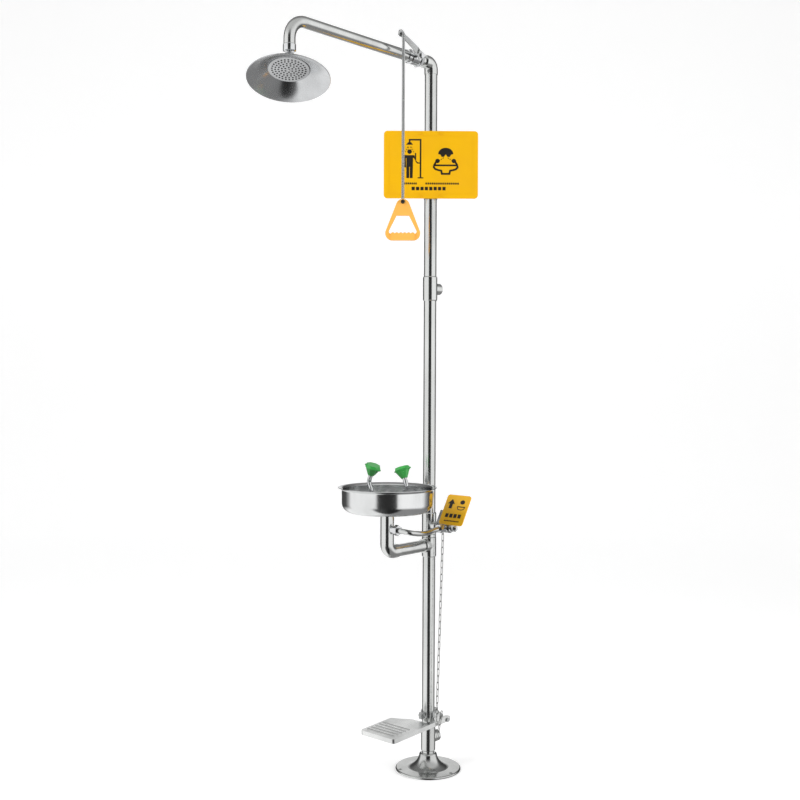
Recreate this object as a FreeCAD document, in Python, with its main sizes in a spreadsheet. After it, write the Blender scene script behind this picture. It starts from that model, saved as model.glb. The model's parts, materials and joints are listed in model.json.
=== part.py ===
import FreeCAD, Part
import Sketcher
import math
import os
import re

# Emergency shower and eyewash station, millimetres.
# Origin: middle of the base plate's underside.  +Z up, arm and bowl toward -Y, valve side +X.

Vector = FreeCAD.Vector
Rotation = FreeCAD.Rotation
Placement = FreeCAD.Placement

doc = FreeCAD.newDocument("shower_station")
dims = doc.addObject("Spreadsheet::Sheet", "Dims")

DIMENSIONS = [
    # base and post
    ("flange_radius", 104), ("flange_thick", 8), ("trumpet_height", 54), ("trumpet_radius", 27),
    ("bolt_circle", 188), ("bolt_hole", 11), ("neck_radius", 19),
    ("post_radius", 20), ("post_bore", 17.5), ("fitting_radius", 23), ("socket_depth", 14),
    ("branch_radius", 18.5), ("thread_radius", 15.15), ("thread_length", 16), ("port_reach", 42),
    ("outlet_low", 60), ("outlet_high", 138), ("outlet_port_z", 99),
    ("drain_low", 680), ("drain_high", 744), ("drain_z", 717),
    ("supply_low", 752), ("supply_high", 822), ("valve_z", 780),
    ("inlet_low", 1498), ("inlet_high", 1576), ("inlet_port_z", 1537),
    # arm
    ("elbow_low", 2222), ("elbow_radius", 21.5), ("elbow_bend", 22), ("elbow_reach", 38),
    ("arm_z", 2258.6), ("arm_radius", 16.8), ("arm_bore", 14.3), ("arm_reach", 616),
    ("arm_bend", 58), ("arm_end_z", 2172),
    ("shower_valve_y", 90), ("shower_valve_half", 32),
    ("lever_x", 36), ("lever_thick", 4), ("lever_step", 3), ("lever_length", 109), ("lever_rise", 25),
    ("rod_radius", 4.5), ("rod_bend", 6), ("clip_radius", 6.2), ("grip_z", 1787), ("grip_thick", 10),
    # shower head
    ("head_ball_z", 2151), ("head_ball_radius", 11), ("head_tilt", 19.4), ("head_radius", 116),
    ("head_height", 74), ("spray_radius", 58), ("spray_depth", 43),
    # sign
    ("facing", 41.5), ("sign_width", 300), ("sign_height", 215), ("sign_thick", 3), ("sign_z", 1930),
    ("sign_gap", 22), ("sign_screw_x", 31.5), ("sign_screw_z", 99), ("sign_corner", 12),
    # bowl and drain
    ("bowl_y", 200), ("bowl_radius", 140), ("lip_radius", 152), ("rim_z", 916), ("bowl_wall", 1.5),
    ("bowl_knee", 30), ("bowl_floor_z", 840), ("bowl_low_z", 829), ("spigot_radius", 19),
    ("column_radius", 21), ("column_bore", 19), ("column_top", 826), ("column_bend", 26),
    ("drain_pipe_radius", 18.9), ("drain_pipe_bore", 16.5), ("riser_radius", 8), ("manifold_z", 862),
    # spray heads
    ("tube_radius", 7), ("tube_bend", 20), ("tube_flare", 32), ("flare_turn", 30), ("tube_turn", 25),
    ("tube_tail", 14), ("nozzle_x", 70), ("nozzle_z", 949), ("nozzle_lean", 20), ("nozzle_low", 10),
    ("nozzle_high", 25), ("nozzle_height", 26), ("cap_height", 9),
    ("hinge_x", 26.6),
    # eyewash valve and push plate
    ("valve_x", 77), ("valve_radius", 17), ("stem_radius", 5), ("feed_radius", 8),
    ("plate_x", 103), ("plate_width", 93), ("plate_height", 102), ("plate_lean", 30), ("plate_thick", 2.5),
    ("plate_distance", 23), ("cheek_left", 46), ("cheek_right", 106), ("cheek_radius", 11),
    ("eye_radius", 4.6),
    ("chain_arm", 17), ("chain_arm_angle", 25),
    # pedal
    ("pivot_y", 40), ("pivot_z", 157), ("pedal_front", 258), ("pedal_right", 46.5), ("pedal_left", 94),
    ("pedal_slope", 2.1), ("pedal_top", 8), ("pedal_skirt", 14), ("pedal_sheet", 2), ("tail_inner", 29),
    ("tail_nose", 17), ("lug_y", -48), ("lug_z", 29), ("clamp_low", 168), ("clamp_high", 188),
    ("clamp_radius", 24),
]

for row, (alias, number) in enumerate(DIMENSIONS, start=1):
    dims.set("A%d" % row, alias)
    dims.set("B%d" % row, str(number))
    dims.setAlias("B%d" % row, alias)
doc.recompute()

FUNCTIONS = {"sin", "cos", "tan", "sqrt", "abs"}


def bound(text):
    """An expression on the sheet, from words that are its aliases."""
    def prefix(match):
        word = match.group(0)
        return word if word in FUNCTIONS else "Dims." + word
    return re.sub(r"[a-z][a-z_]*[a-z]", prefix, str(text))


def size(text):
    """The present value of an expression on the sheet."""
    return float(dims.evalExpression(bound(text)))


TURNS = {
    "up": Rotation(),
    "down": Rotation(Vector(1, 0, 0), 180),
    "front": Rotation(Vector(1, 0, 0), 90),
    "back": Rotation(Vector(1, 0, 0), -90),
    "right": Rotation(Vector(0, 1, 0), 90),
    "left": Rotation(Vector(0, 1, 0), -90),
}


def axes(own_x, own_y):
    """The rotation that carries an object's own X and Y onto two square directions."""
    return Rotation(own_x, own_y, own_x.cross(own_y), "XYZ")


def place(item, at, turn="up"):
    """Puts an object at three expressions, turned so its own Z looks along a named direction."""
    rotation = TURNS[turn] if isinstance(turn, str) else turn
    item.Placement = Placement(Vector(*[size(value) for value in at]), rotation)
    for axis, value in zip("xyz", at):
        item.setExpression("Placement.Base." + axis, bound(value))
    return item


def short_name(name):
    return "".join(word.capitalize() for word in name.split("_"))


# ---------------------------------------------------------------- primitives

def cylinder(name, radius, length, at, turn="up"):
    item = doc.addObject("Part::Cylinder", short_name(name))
    item.setExpression("Radius", bound(radius))
    item.setExpression("Height", bound(length))
    return place(item, at, turn)


def cone(name, radius_low, radius_high, length, at, turn="up"):
    item = doc.addObject("Part::Cone", short_name(name))
    item.setExpression("Radius1", bound(radius_low))
    item.setExpression("Radius2", bound(radius_high))
    item.setExpression("Height", bound(length))
    return place(item, at, turn)


def sphere(name, radius, at):
    item = doc.addObject("Part::Sphere", short_name(name))
    item.setExpression("Radius", bound(radius))
    return place(item, at)


def box(name, lengths, at, turn="up"):
    item = doc.addObject("Part::Box", short_name(name))
    for side, value in zip(("Length", "Width", "Height"), lengths):
        item.setExpression(side, bound(value))
    return place(item, at, turn)


def hexagon(name, flats, length, at, turn="up"):
    """A hexagonal prism with both ends chamfered."""
    corner = "(%s) / 1.732" % flats
    prism = doc.addObject("Part::Prism", short_name(name) + "Prism")
    prism.Polygon = 6
    prism.setExpression("Circumradius", bound(corner))
    prism.setExpression("Height", bound(length))
    place(prism, at, turn)
    tip = "(%s) * 0.93" % corner
    spread = "%s + (%s) * 1.73" % (tip, length)
    top = cone(name + "_top", spread, tip, length, at, turn)
    bottom = cone(name + "_bottom", tip, spread, length, at, turn)
    return common(name + "_hex", [prism, top, bottom])


def fuse(name, pieces):
    item = doc.addObject("Part::MultiFuse", short_name(name))
    item.Shapes = pieces
    return item


def common(name, pieces):
    item = doc.addObject("Part::MultiCommon", short_name(name))
    item.Shapes = pieces
    return item


def cut(name, base, tools):
    item = doc.addObject("Part::Cut", short_name(name))
    item.Base = base
    item.Tool = tools[0] if len(tools) == 1 else fuse(name + "_tools", tools)
    return item


def compound(name, pieces):
    item = doc.addObject("Part::Compound", short_name(name))
    item.Links = pieces
    return item


# ---------------------------------------------------------------- sketches

def origin_plane(body, role):
    return [part for part in body.Origin.OriginFeatures if part.Role == role][0]


def new_body(name):
    return doc.addObject("PartDesign::Body", short_name(name))


def new_sketch(body, name, role, lift=None):
    sketch = body.newObject("Sketcher::SketchObject", name)
    sketch.AttachmentSupport = [(origin_plane(body, role), "")]
    sketch.MapMode = "FlatFace"
    if lift is not None:
        sketch.AttachmentOffset.Base.z = size(lift)
        sketch.setExpression("AttachmentOffset.Base.z", bound(lift))
    return sketch


def pin_point(sketch, element, end, point):
    """Holds one end of an element at a pair of expressions."""
    for kind, value in zip(("DistanceX", "DistanceY"), point):
        index = sketch.addConstraint(Sketcher.Constraint(kind, -1, 1, element, end, size(value)))
        sketch.setExpression("Constraints[%d]" % index, bound(value))


def draw(sketch, start, steps, closed=True):
    """Lines and arcs from a start point.  A step is (x, y), or (x, y, radius, side) for an arc
    whose centre lies left (+1) or right (-1) of its chord."""
    corners = [start] + [step[:2] for step in steps]
    elements = []
    for before, step in zip(corners, steps):
        first = Vector(size(before[0]), size(before[1]), 0)
        last = Vector(size(step[0]), size(step[1]), 0)
        if len(step) == 2:
            elements.append(sketch.addGeometry(Part.LineSegment(first, last)))
            continue
        radius, side = size(step[2]), step[3]
        chord = last - first
        normal = Vector(-chord.y, chord.x, 0)
        normal.normalize()
        reach = math.sqrt(max(radius ** 2 - (chord.Length / 2) ** 2, 0))
        centre = (first + last) * 0.5 + normal * (reach * side)
        middle = centre - normal * (radius * side)
        arc = Part.Arc(first, middle, last)
        elements.append(sketch.addGeometry(arc))
    for element, step, after in zip(elements, steps, elements[1:] + elements[:1]):
        if not closed and element == elements[-1]:
            continue
        sketch.addConstraint(Sketcher.Constraint("Coincident", *joined(sketch, element, after)))
    for element, corner in zip(elements, corners):
        pin_point(sketch, element, near_end(sketch, element, corner), corner)
    if not closed:
        pin_point(sketch, elements[-1], near_end(sketch, elements[-1], corners[-1]), corners[-1])
    for element, step in zip(elements, steps):
        if len(step) == 4:
            index = sketch.addConstraint(Sketcher.Constraint("Radius", element, size(step[2])))
            sketch.setExpression("Constraints[%d]" % index, bound(step[2]))
    return elements


def near_end(sketch, element, corner):
    """Which end (1 or 2) of an element lies at a corner."""
    spot = Vector(size(corner[0]), size(corner[1]), 0)
    gaps = [sketch.getPoint(element, end).distanceToPoint(spot) for end in (1, 2)]
    return 1 if gaps[0] <= gaps[1] else 2


def joined(sketch, element, after):
    """The ends at which two elements meet, as element, end, element, end."""
    pairs = [(sketch.getPoint(element, a).distanceToPoint(sketch.getPoint(after, b)), a, b)
             for a in (1, 2) for b in (1, 2)]
    gap, end, start = min(pairs)
    return element, end, after, start


def draw_circle(sketch, at, radius):
    spot = Vector(size(at[0]), size(at[1]), 0)
    element = sketch.addGeometry(Part.Circle(spot, Vector(0, 0, 1), size(radius)))
    pin_point(sketch, element, 3, at)
    index = sketch.addConstraint(Sketcher.Constraint("Radius", element, size(radius)))
    sketch.setExpression("Constraints[%d]" % index, bound(radius))


def turned(name, start, steps, at=("0", "0", "0"), turn="up"):
    """A body turned about its own Z from an outline of (radius, height) corners."""
    body = new_body(name)
    sketch = new_sketch(body, "Outline", "XZ_Plane")
    draw(sketch, start, steps + [start])
    spin = body.newObject("PartDesign::Revolution", "Turned")
    spin.Profile = sketch
    spin.ReferenceAxis = (sketch, ["V_Axis"])
    spin.Angle = 360
    return place(body, at, turn)


def cut_sheet(name, role, start, steps, thickness, holes=(), at=("0", "0", "0"), turn="up", middle=True):
    """A body cut from sheet: an outline with round holes, each ((x, y), radius)."""
    body = new_body(name)
    sketch = new_sketch(body, "Outline", role)
    closing = [] if steps[-1][:2] == start else [start]
    draw(sketch, start, steps + closing)
    for spot, radius in holes:
        draw_circle(sketch, spot, radius)
    pad = body.newObject("PartDesign::Pad", "Sheet")
    pad.Profile = sketch
    pad.setExpression("Length", bound(thickness))
    pad.Midplane = middle
    return place(body, at, turn)


def rounded_box(width, height, corner, low="0"):
    """Outline of a rounded rectangle centred on X and standing on a height."""
    half = "(%s) / 2" % width
    top = "%s + %s" % (low, height)
    start = ("%s - %s" % (half, corner), low)
    steps = [
        (half, "%s + %s" % (low, corner), corner, 1),
        (half, "%s - %s" % (top, corner)),
        ("%s - %s" % (half, corner), top, corner, 1),
        ("%s - %s" % (corner, half), top),
        ("0 - %s" % half, "%s - %s" % (top, corner), corner, 1),
        ("0 - %s" % half, "%s + %s" % (low, corner)),
        ("%s - %s" % (corner, half), low, corner, 1),
    ]
    return start, steps


def bent_tube(name, start, steps, outer, inner, at, turn):
    """A round tube along a path in its own XZ plane, starting at its origin along its own Z."""
    body = new_body(name)
    path = new_sketch(body, "Path", "XZ_Plane")
    draw(path, start, steps, closed=False)
    ring = new_sketch(body, "Ring", "XY_Plane")
    draw_circle(ring, ("0", "0"), outer)
    if inner is not None:
        draw_circle(ring, ("0", "0"), inner)
    doc.recompute()
    sweep = body.newObject("PartDesign::AdditivePipe", "Sweep")
    sweep.Profile = ring
    sweep.Spine = (path, ["Edge%d" % (number + 1) for number in range(len(steps))])
    return place(body, at, turn)


KEPT = []


def keep(item, label):
    """Marks an object as a finished sub-part."""
    item.Label = label
    KEPT.append(item)
    return item


# ---------------------------------------------------------------- base and post

def base_flange():
    """The floor plate drawn up into a trumpet, and the solid neck that stands in it."""
    flange = turned("base_plate", ("neck_radius", "flange_thick"), [
        ("neck_radius", "0"),
        ("flange_radius - 3", "0"),
        ("flange_radius", "3", "3", 1),
        ("flange_radius", "flange_thick - 4"),
        ("flange_radius - 4", "flange_thick", "4", 1),
        ("trumpet_radius + 39", "flange_thick + 1.5"),
        ("trumpet_radius + 1.5", "trumpet_height - 9", "48", -1),
        ("trumpet_radius - 4", "trumpet_height", "9", 1),
        ("neck_radius", "trumpet_height"),
    ])
    holes = []
    for number in range(3):
        angle = 120 * number
        spot = ("bolt_circle / 2 * cos(%d)" % angle, "bolt_circle / 2 * sin(%d)" % angle, "-1")
        holes.append(cylinder("bolt_hole_%d" % number, "bolt_hole / 2", "flange_thick * 2", spot))
    keep(cut("base_flange", flange, holes), "base_flange")
    keep(cylinder("base_neck", "neck_radius", "outlet_low + socket_depth - 2", ("0", "0", "2")), "base_neck")


def tee(name, low, high, port_z, turn, reach, port_radius, port_bore, port_depth, lower_bore="post_radius"):
    """A straight tee on the post axis with one side port."""
    edge = 2.5
    shell = turned(name + "_run", ("0", low), [
        ("fitting_radius - %s" % edge, low),
        ("fitting_radius", "%s + %s" % (low, edge)),
        ("fitting_radius", "%s - %s" % (high, edge)),
        ("fitting_radius - %s" % edge, high),
        ("0", high),
    ])
    port = cylinder(name + "_port", port_radius, reach, ("0", "0", port_z), turn)
    tools = [
        cylinder(name + "_bore", "post_bore", "%s - %s" % (high, low), ("0", "0", low)),
        cylinder(name + "_low_socket", lower_bore, "socket_depth", ("0", "0", low)),
        cylinder(name + "_high_socket", "post_radius", "socket_depth",
                 ("0", "0", "%s - socket_depth" % high)),
        cylinder(name + "_port_bore", "%s - 2" % port_bore, reach, ("0", "0", port_z), turn),
        cylinder(name + "_port_socket", port_bore, port_depth,
                 along(turn, "%s - (%s)" % (reach, port_depth), port_z), turn),
    ]
    keep(cut(name, fuse(name + "_body", [shell, port]), tools), name)


def along(turn, distance, height):
    """A spot at a distance from the post axis in a named level direction."""
    back = {"back": distance, "front": "-(%s)" % distance}.get(turn, "0")
    right = {"right": distance, "left": "-(%s)" % distance}.get(turn, "0")
    return right, back, height


def post_pipe(name, low, high):
    outer = cylinder(name + "_outer", "post_radius", "%s - (%s)" % (high, low), ("0", "0", low))
    inner = cylinder(name + "_inner", "post_bore", "%s - (%s)" % (high, low), ("0", "0", low))
    keep(cut(name, outer, [inner]), name)


def post():
    tee("outlet_tee", "outlet_low", "outlet_high", "outlet_port_z", "back", "port_reach",
        "branch_radius", "thread_radius", "thread_length", lower_bore="neck_radius")
    post_pipe("drain_post", "outlet_high - socket_depth", "drain_low + socket_depth")
    tee("drain_tee", "drain_low", "drain_high", "drain_z", "front", "fitting_radius + 9",
        "fitting_radius - 1", "drain_pipe_radius", "socket_depth - 2")
    plug = turned("divider_plug", ("0", "drain_high - 10"), [
        ("post_radius", "drain_high - 10"),
        ("post_radius", "drain_high"),
        ("fitting_radius - 1", "drain_high"),
        ("fitting_radius - 1", "supply_low"),
        ("post_radius", "supply_low"),
        ("post_radius", "supply_low + 10"),
        ("0", "supply_low + 10"),
    ])
    keep(plug, "divider_plug")
    tee("supply_tee", "supply_low", "supply_high", "valve_z", "right", "fitting_radius + 8",
        "branch_radius - 4", "10", "12")
    post_pipe("middle_post", "supply_high - socket_depth", "inlet_low + socket_depth")
    tee("inlet_tee", "inlet_low", "inlet_high", "inlet_port_z", "back", "port_reach",
        "branch_radius", "thread_radius", "thread_length")
    post_pipe("upper_post", "inlet_high - socket_depth", "elbow_low + 10")


# ---------------------------------------------------------------- arm and shower valve

def top_elbow():
    rise = "arm_z - elbow_low - elbow_bend"
    steps = [("0", rise), ("elbow_bend", "arm_z - elbow_low", "elbow_bend", -1),
             ("elbow_reach", "arm_z - elbow_low")]
    quarter = Rotation(Vector(0, 0, 1), -90)
    at = ("0", "0", "elbow_low")
    outer = bent_tube("elbow_outer", ("0", "0"), steps, "elbow_radius", None, at, quarter)
    inner = bent_tube("elbow_inner", ("0", "0"), steps, "arm_bore", None, at, quarter)
    socket = cylinder("elbow_socket", "post_radius", "10", at)
    mouth = cylinder("elbow_mouth", "arm_radius", "14", ("0", "14 - elbow_reach", "arm_z"), "front")
    keep(cut("top_elbow", outer, [inner, socket, mouth]), "top_elbow")


VALVE_START = "0 - shower_valve_y + shower_valve_half"
BALL_AT = ("0", "0 - shower_valve_y", "arm_z")


def arm_nipple():
    outer = cylinder("nipple_outer", "arm_radius", "shower_valve_y - shower_valve_half - elbow_reach + 24",
                     ("0", "14 - elbow_reach", "arm_z"), "front")
    inner = cylinder("nipple_inner", "arm_bore", "shower_valve_y",
                     ("0", "14 - elbow_reach", "arm_z"), "front")
    keep(cut("arm_nipple", outer, [inner]), "arm_nipple")


def shower_valve():
    length = "shower_valve_half * 2"
    barrel = turned("shower_valve_barrel", ("0", "0"), [
        ("19.5", "0"), ("19.5", "13"), ("22.5", "16"), ("22.5", "%s - 16" % length),
        ("19.5", "%s - 13" % length), ("19.5", length), ("0", length),
    ], ("0", VALVE_START, "arm_z"), "front")
    boss = cylinder("shower_boss", "11", "28", BALL_AT, "right")
    tools = [
        cylinder("shower_bore", "11", length, ("0", VALVE_START, "arm_z"), "front"),
        cylinder("shower_room", "16.5", "34", ("0", "17 - shower_valve_y", "arm_z"), "front"),
        cylinder("shower_socket_back", "arm_radius", "10", ("0", VALVE_START, "arm_z"), "front"),
        cylinder("shower_socket_front", "arm_radius", "10",
                 ("0", "10 - shower_valve_y - shower_valve_half", "arm_z"), "front"),
        cylinder("shower_stem_hole", "stem_radius + 0.1", "40", BALL_AT, "right"),
    ]
    keep(cut("shower_valve_body", fuse("shower_casting", [barrel, boss]), tools), "shower_valve_body")
    nut = hexagon("end_nut", "46", "9", ("0", VALVE_START + " - 1", "arm_z"), "front")
    ring = cylinder("end_nut_hole", "19.5", "12", ("0", VALVE_START, "arm_z"), "front")
    keep(cut("shower_valve_nut", nut, [ring]), "shower_valve_nut")
    seats = []
    for number, side in enumerate(("back", "front")):
        sign = "+" if side == "back" else "-"
        base = "0 - shower_valve_y %s 16.9" % sign
        facing_ball = "front" if side == "back" else "back"
        seat = cylinder("shower_seat_%d" % number, "16.4", "7", ("0", base, "arm_z"), facing_ball)
        hole = cylinder("shower_seat_hole_%d" % number, "10.5", "7", ("0", base, "arm_z"), facing_ball)
        room = sphere("shower_seat_room_%d" % number, "14.15", BALL_AT)
        seats.append(cut("shower_seat_ring_%d" % number, seat, [hole, room]))
    return seats, gland_nut("shower_gland", "18", ("28", "0 - shower_valve_y", "arm_z"))


def shower_stem():
    ball = sphere("shower_ball_round", "14", BALL_AT)
    hole = cylinder("shower_ball_hole", "10", "40", ("0", "0 - shower_valve_y", "arm_z - 20"))
    flat = box("shower_ball_flat", ("10", "30", "30"), ("11.5", "0 - shower_valve_y - 15", "arm_z - 15"))
    keep(cut("shower_ball", ball, [hole, flat]), "shower_ball")
    stem = cylinder("shower_stem", "stem_radius", "lever_x + 7 - 11.5", ("11.5",) + BALL_AT[1:], "right")
    keep(stem, "shower_stem")
    nut = hexagon("lever_nut_hexagon", "15", "5", ("lever_x + lever_thick / 2",) + BALL_AT[1:], "right")
    hole = cylinder("lever_nut_hole", "stem_radius", "8", ("lever_x",) + BALL_AT[1:], "right")
    keep(cut("shower_lever_nut", nut, [hole]), "shower_lever_nut")


def gland_nut(name, flats, at):
    """The hexagonal packing nut round a valve stem."""
    nut = hexagon(name + "_hexagon", flats, "6", at, "right")
    hole = cylinder(name + "_hole", "stem_radius + 0.1", "6", at, "right")
    return cut(name, nut, [hole])


def shower_lever():
    """A flat strip from the stem to the pull rod, stepped outward near the stem."""
    rise = math.radians(size("lever_rise"))
    forward = Vector(0, -math.cos(rise), math.sin(rise))
    rotation = axes(forward, Vector(-1, 0, 0))
    at = ("lever_x", "0 - shower_valve_y", "arm_z")
    near, far = "0 - lever_thick / 2", "lever_thick / 2"
    face = cut_sheet("lever_face", "XZ_Plane", ("0", "-11"), [
        ("lever_length - 26", "-8"),
        ("lever_length", "-12", "30", -1),
        ("lever_length + 12", "0", "12", 1),
        ("lever_length", "12", "12", 1),
        ("lever_length - 26", "8", "30", -1),
        ("0", "11"),
        ("-11", "0", "11", 1),
        ("0", "-11", "11", 1),
    ], "60", [(("0", "0"), "stem_radius"), (("lever_length", "0"), "rod_radius + 0.3")], at, rotation)
    strip = cut_sheet("lever_strip", "XY_Plane", ("-15", near), [
        ("16", near),
        ("26", near + " - lever_step"),
        ("lever_length + 20", near + " - lever_step"),
        ("lever_length + 20", far + " - lever_step"),
        ("27.5", far + " - lever_step"),
        ("17.5", far),
        ("-15", far),
    ], "60", (), at, rotation)
    keep(common("pull_lever", [face, strip]), "pull_lever")


def shower_arm():
    """The overhead pipe from the shower valve to the swivel above the head."""
    start = "shower_valve_y + shower_valve_half - 10"
    reach = "arm_reach - (%s)" % start
    steps = [
        ("0", "%s - arm_bend" % reach),
        ("arm_bend", reach, "arm_bend", -1),
        ("arm_z - arm_end_z", reach),
    ]
    rotation = axes(Vector(0, 0, -1), Vector(1, 0, 0))
    keep(bent_tube("shower_arm", ("0", "0"), steps, "arm_radius", "arm_bore",
                   ("0", "0 - (%s)" % start, "arm_z"), rotation), "shower_arm")


# ---------------------------------------------------------------- pull rod and handle

LEVER_TIP = ("lever_x + lever_step",
             "0 - shower_valve_y - lever_length * cos(lever_rise)",
             "arm_z + lever_length * sin(lever_rise)")
ROD_X = "lever_x + lever_step + lever_thick / 2 + 1 + rod_bend"
GRIP_OUT = "rod_bend + 1 + grip_thick / 2"


def toward_viewer():
    """Level direction that the sign and the pull handle face."""
    angle = math.radians(size("facing"))
    return Vector(math.sin(angle), -math.cos(angle), 0)


def across_viewer():
    angle = math.radians(size("facing"))
    return Vector(math.cos(angle), math.sin(angle), 0)


def pull_rod():
    middle = "(arm_z + grip_z) / 2"
    at = (ROD_X, LEVER_TIP[1], middle)
    rise = "%s - (%s)" % (LEVER_TIP[2], middle)
    upper_steps = [("0", "%s - rod_bend" % rise), ("rod_bend", rise, "rod_bend", -1),
                   ("rod_bend + lever_thick + 9", rise)]
    upper = bent_tube("rod_upper", ("0", "0"), upper_steps, "rod_radius", None, at,
                      axes(Vector(-1, 0, 0), Vector(0, -1, 0)))
    fall = "%s - grip_z" % middle
    lower_steps = [("0", "%s - rod_bend" % fall), ("rod_bend", fall, "rod_bend", -1),
                   ("rod_bend + grip_thick + 9", fall)]
    lower = bent_tube("rod_lower", ("0", "0"), lower_steps, "rod_radius", None, at,
                      axes(toward_viewer(), -across_viewer()))
    keep(fuse("pull_rod", [upper, lower]), "pull_rod")
    behind_lever = ("lever_x + lever_step - lever_thick / 2 - 4", LEVER_TIP[1], LEVER_TIP[2])
    clip_top = cylinder("clip_top", "clip_radius", "3", behind_lever, "right")
    hole_top = cylinder("clip_top_hole", "rod_radius", "3", behind_lever, "right")
    facing_turn = axes(Vector(0, 0, -1), across_viewer())
    out = "%s + grip_thick / 2 + 1" % GRIP_OUT
    spot = (ROD_X + " + (%s) * sin(facing)" % out, LEVER_TIP[1] + " - (%s) * cos(facing)" % out, "grip_z")
    clip_low = cylinder("clip_low", "clip_radius", "3", spot, facing_turn)
    hole_low = cylinder("clip_low_hole", "rod_radius", "3", spot, facing_turn)
    clips = [cut("rod_clip_top", clip_top, [hole_top]), cut("rod_clip_low", clip_low, [hole_low])]
    keep(compound("rod_clips", clips), "rod_clips")


def pull_handle():
    """A flat moulded stirrup: round eye, two legs and a scalloped grip bar."""
    at = (ROD_X + " + (%s) * sin(facing)" % GRIP_OUT,
          LEVER_TIP[1] + " - (%s) * cos(facing)" % GRIP_OUT, "grip_z")
    rotation = axes(across_viewer(), -toward_viewer())
    body = new_body("pull_handle")
    outline = new_sketch(body, "Outline", "XZ_Plane")
    draw(outline, ("20", "-6"), [
        ("-20", "-6", "20.9", 1),
        ("-51", "-86"),
        ("-35", "-117", "22", 1),
        ("35", "-117"),
        ("51", "-86", "22", 1),
        ("20", "-6"),
    ])
    draw_circle(outline, ("0", "0"), "rod_radius + 0.3")
    slab = body.newObject("PartDesign::Pad", "Slab")
    slab.Profile = outline
    slab.setExpression("Length", bound("grip_thick"))
    slab.Midplane = True
    opening = new_sketch(body, "Opening", "XZ_Plane")
    scallops = [("-24 + %d" % (12 * step), "-97", "6.6", -1) for step in range(6)]
    draw(opening, ("19", "-42"), [
        ("-19", "-42"),
        ("-42", "-88"),
        ("-36", "-97", "7", 1),
    ] + scallops + [("42", "-88", "7", 1), ("19", "-42")])
    window = body.newObject("PartDesign::Pocket", "Window")
    window.Profile = opening
    window.Type = 1
    window.Midplane = True
    bar = new_sketch(body, "Bar", "XZ_Plane")
    draw(bar, ("-36", "-97"), scallops + [
        ("36", "-110"),
        ("30", "-117", "7", -1),
        ("-30", "-117"),
        ("-36", "-110", "7", -1),
        ("-36", "-97"),
    ])
    grip = body.newObject("PartDesign::Pad", "GripBar")
    grip.Profile = bar
    grip.setExpression("Length", bound("grip_thick + 9"))
    grip.Midplane = True
    keep(place(body, at, rotation), "pull_handle")


# ---------------------------------------------------------------- shower head

def swivel():
    """The ball stub that hangs from the arm and lets the head turn and tip."""
    joint = "arm_end_z"
    nut = turned("swivel_sleeve", ("0", "-9.5"), [
        ("arm_radius - 1.5", "-9.5"), ("arm_radius + 1.7", "-6"), ("arm_radius + 1.7", "11"),
        ("arm_radius + 0.5", "12.5"), ("0", "12.5"),
    ], ("0", "0 - arm_reach", joint), "up")
    room = cylinder("swivel_room", "12.1", "4.1", ("0", "0 - arm_reach", joint + " - 1"), "up")
    neck = cylinder("swivel_neck", "5.2", "12", ("0", "0 - arm_reach", joint + " - 10"), "up")
    grip = cylinder("swivel_grip", "arm_radius", "16", ("0", "0 - arm_reach", joint), "up")
    keep(cut("head_swivel_nut", nut, [room, neck, grip]), "head_swivel_nut")
    top = "arm_end_z - head_ball_z"
    stub = turned("head_ball_stub", ("3", "-10.583"), [
        ("5", "9.798", "head_ball_radius", 1),
        ("5", top + " - 1"),
        ("12", top + " - 0.9"),
        ("12", top + " - 0.1"),
        ("3", top + " - 0.1"),
    ], ("0", "0 - arm_reach", "head_ball_z"), "up")
    keep(stub, "head_ball")


def head_turn():
    """Rotation that tips the head's spray side toward the viewer."""
    return Rotation(across_viewer(), -size("head_tilt"))


def shower_head():
    at = ("0", "0 - arm_reach", "head_ball_z")
    wall = "1.6"
    shell = turned("head_shell", ("13", "-4"), [
        ("22", "-4"),
        ("spray_radius - 12", "6 - spray_depth * 0.8", "60", 1),
        ("spray_radius + 2", "2 - spray_depth", "34", -1),
        ("head_radius", "0 - head_height + 2", "160", 1),
        ("head_radius", "0 - head_height - 1", "1.7", -1),
        ("spray_radius", "0 - spray_depth", "160", -1),
        ("spray_radius - 13", "4 - spray_depth * 0.8 ", "36", 1),
        ("20", "-7", "62", -1),
        ("13", "-7"),
    ], at, head_turn())
    keep(shell, "head_shell")
    socket = cylinder("socket_block", "13", "19", ("0", "0", "-13"))
    room = sphere("socket_room", "head_ball_radius + 0.15", ("0", "0", "0"))
    drain = cylinder("socket_drain", "7", "14", ("0", "0", "-14"))
    bridge = box("socket_bridge", ("25", "5", "6"), ("-12.5", "-2.5", "-18"))
    post = cylinder("socket_post", "4.5", "spray_depth - 13", ("0", "0", "0 - spray_depth"))
    thread = cylinder("socket_thread", "2.4", "5", ("0", "0", "0 - spray_depth - 1"))
    cup_part = cut("socket_cup", socket, [room, drain])
    nut = cut("head_socket", fuse("socket_solid", [cup_part, bridge, post]), [thread])
    holder = doc.addObject("Part::Compound", "HeadSocketPlaced")
    holder.Links = [nut]
    keep(place(holder, at, head_turn()), "head_socket")
    keep(spray_plate(at), "spray_plate")
    keep(turned("plate_screw", ("0", "3 - spray_depth"), [
        ("2.4", "3 - spray_depth"), ("2.4", "0 - spray_depth - 2"), ("3.9", "0 - spray_depth - 2"),
        ("2.2", "0 - spray_depth - 4.4", "4", -1), ("0", "0 - spray_depth - 4.4"),
    ], at, head_turn()), "plate_screw")


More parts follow.
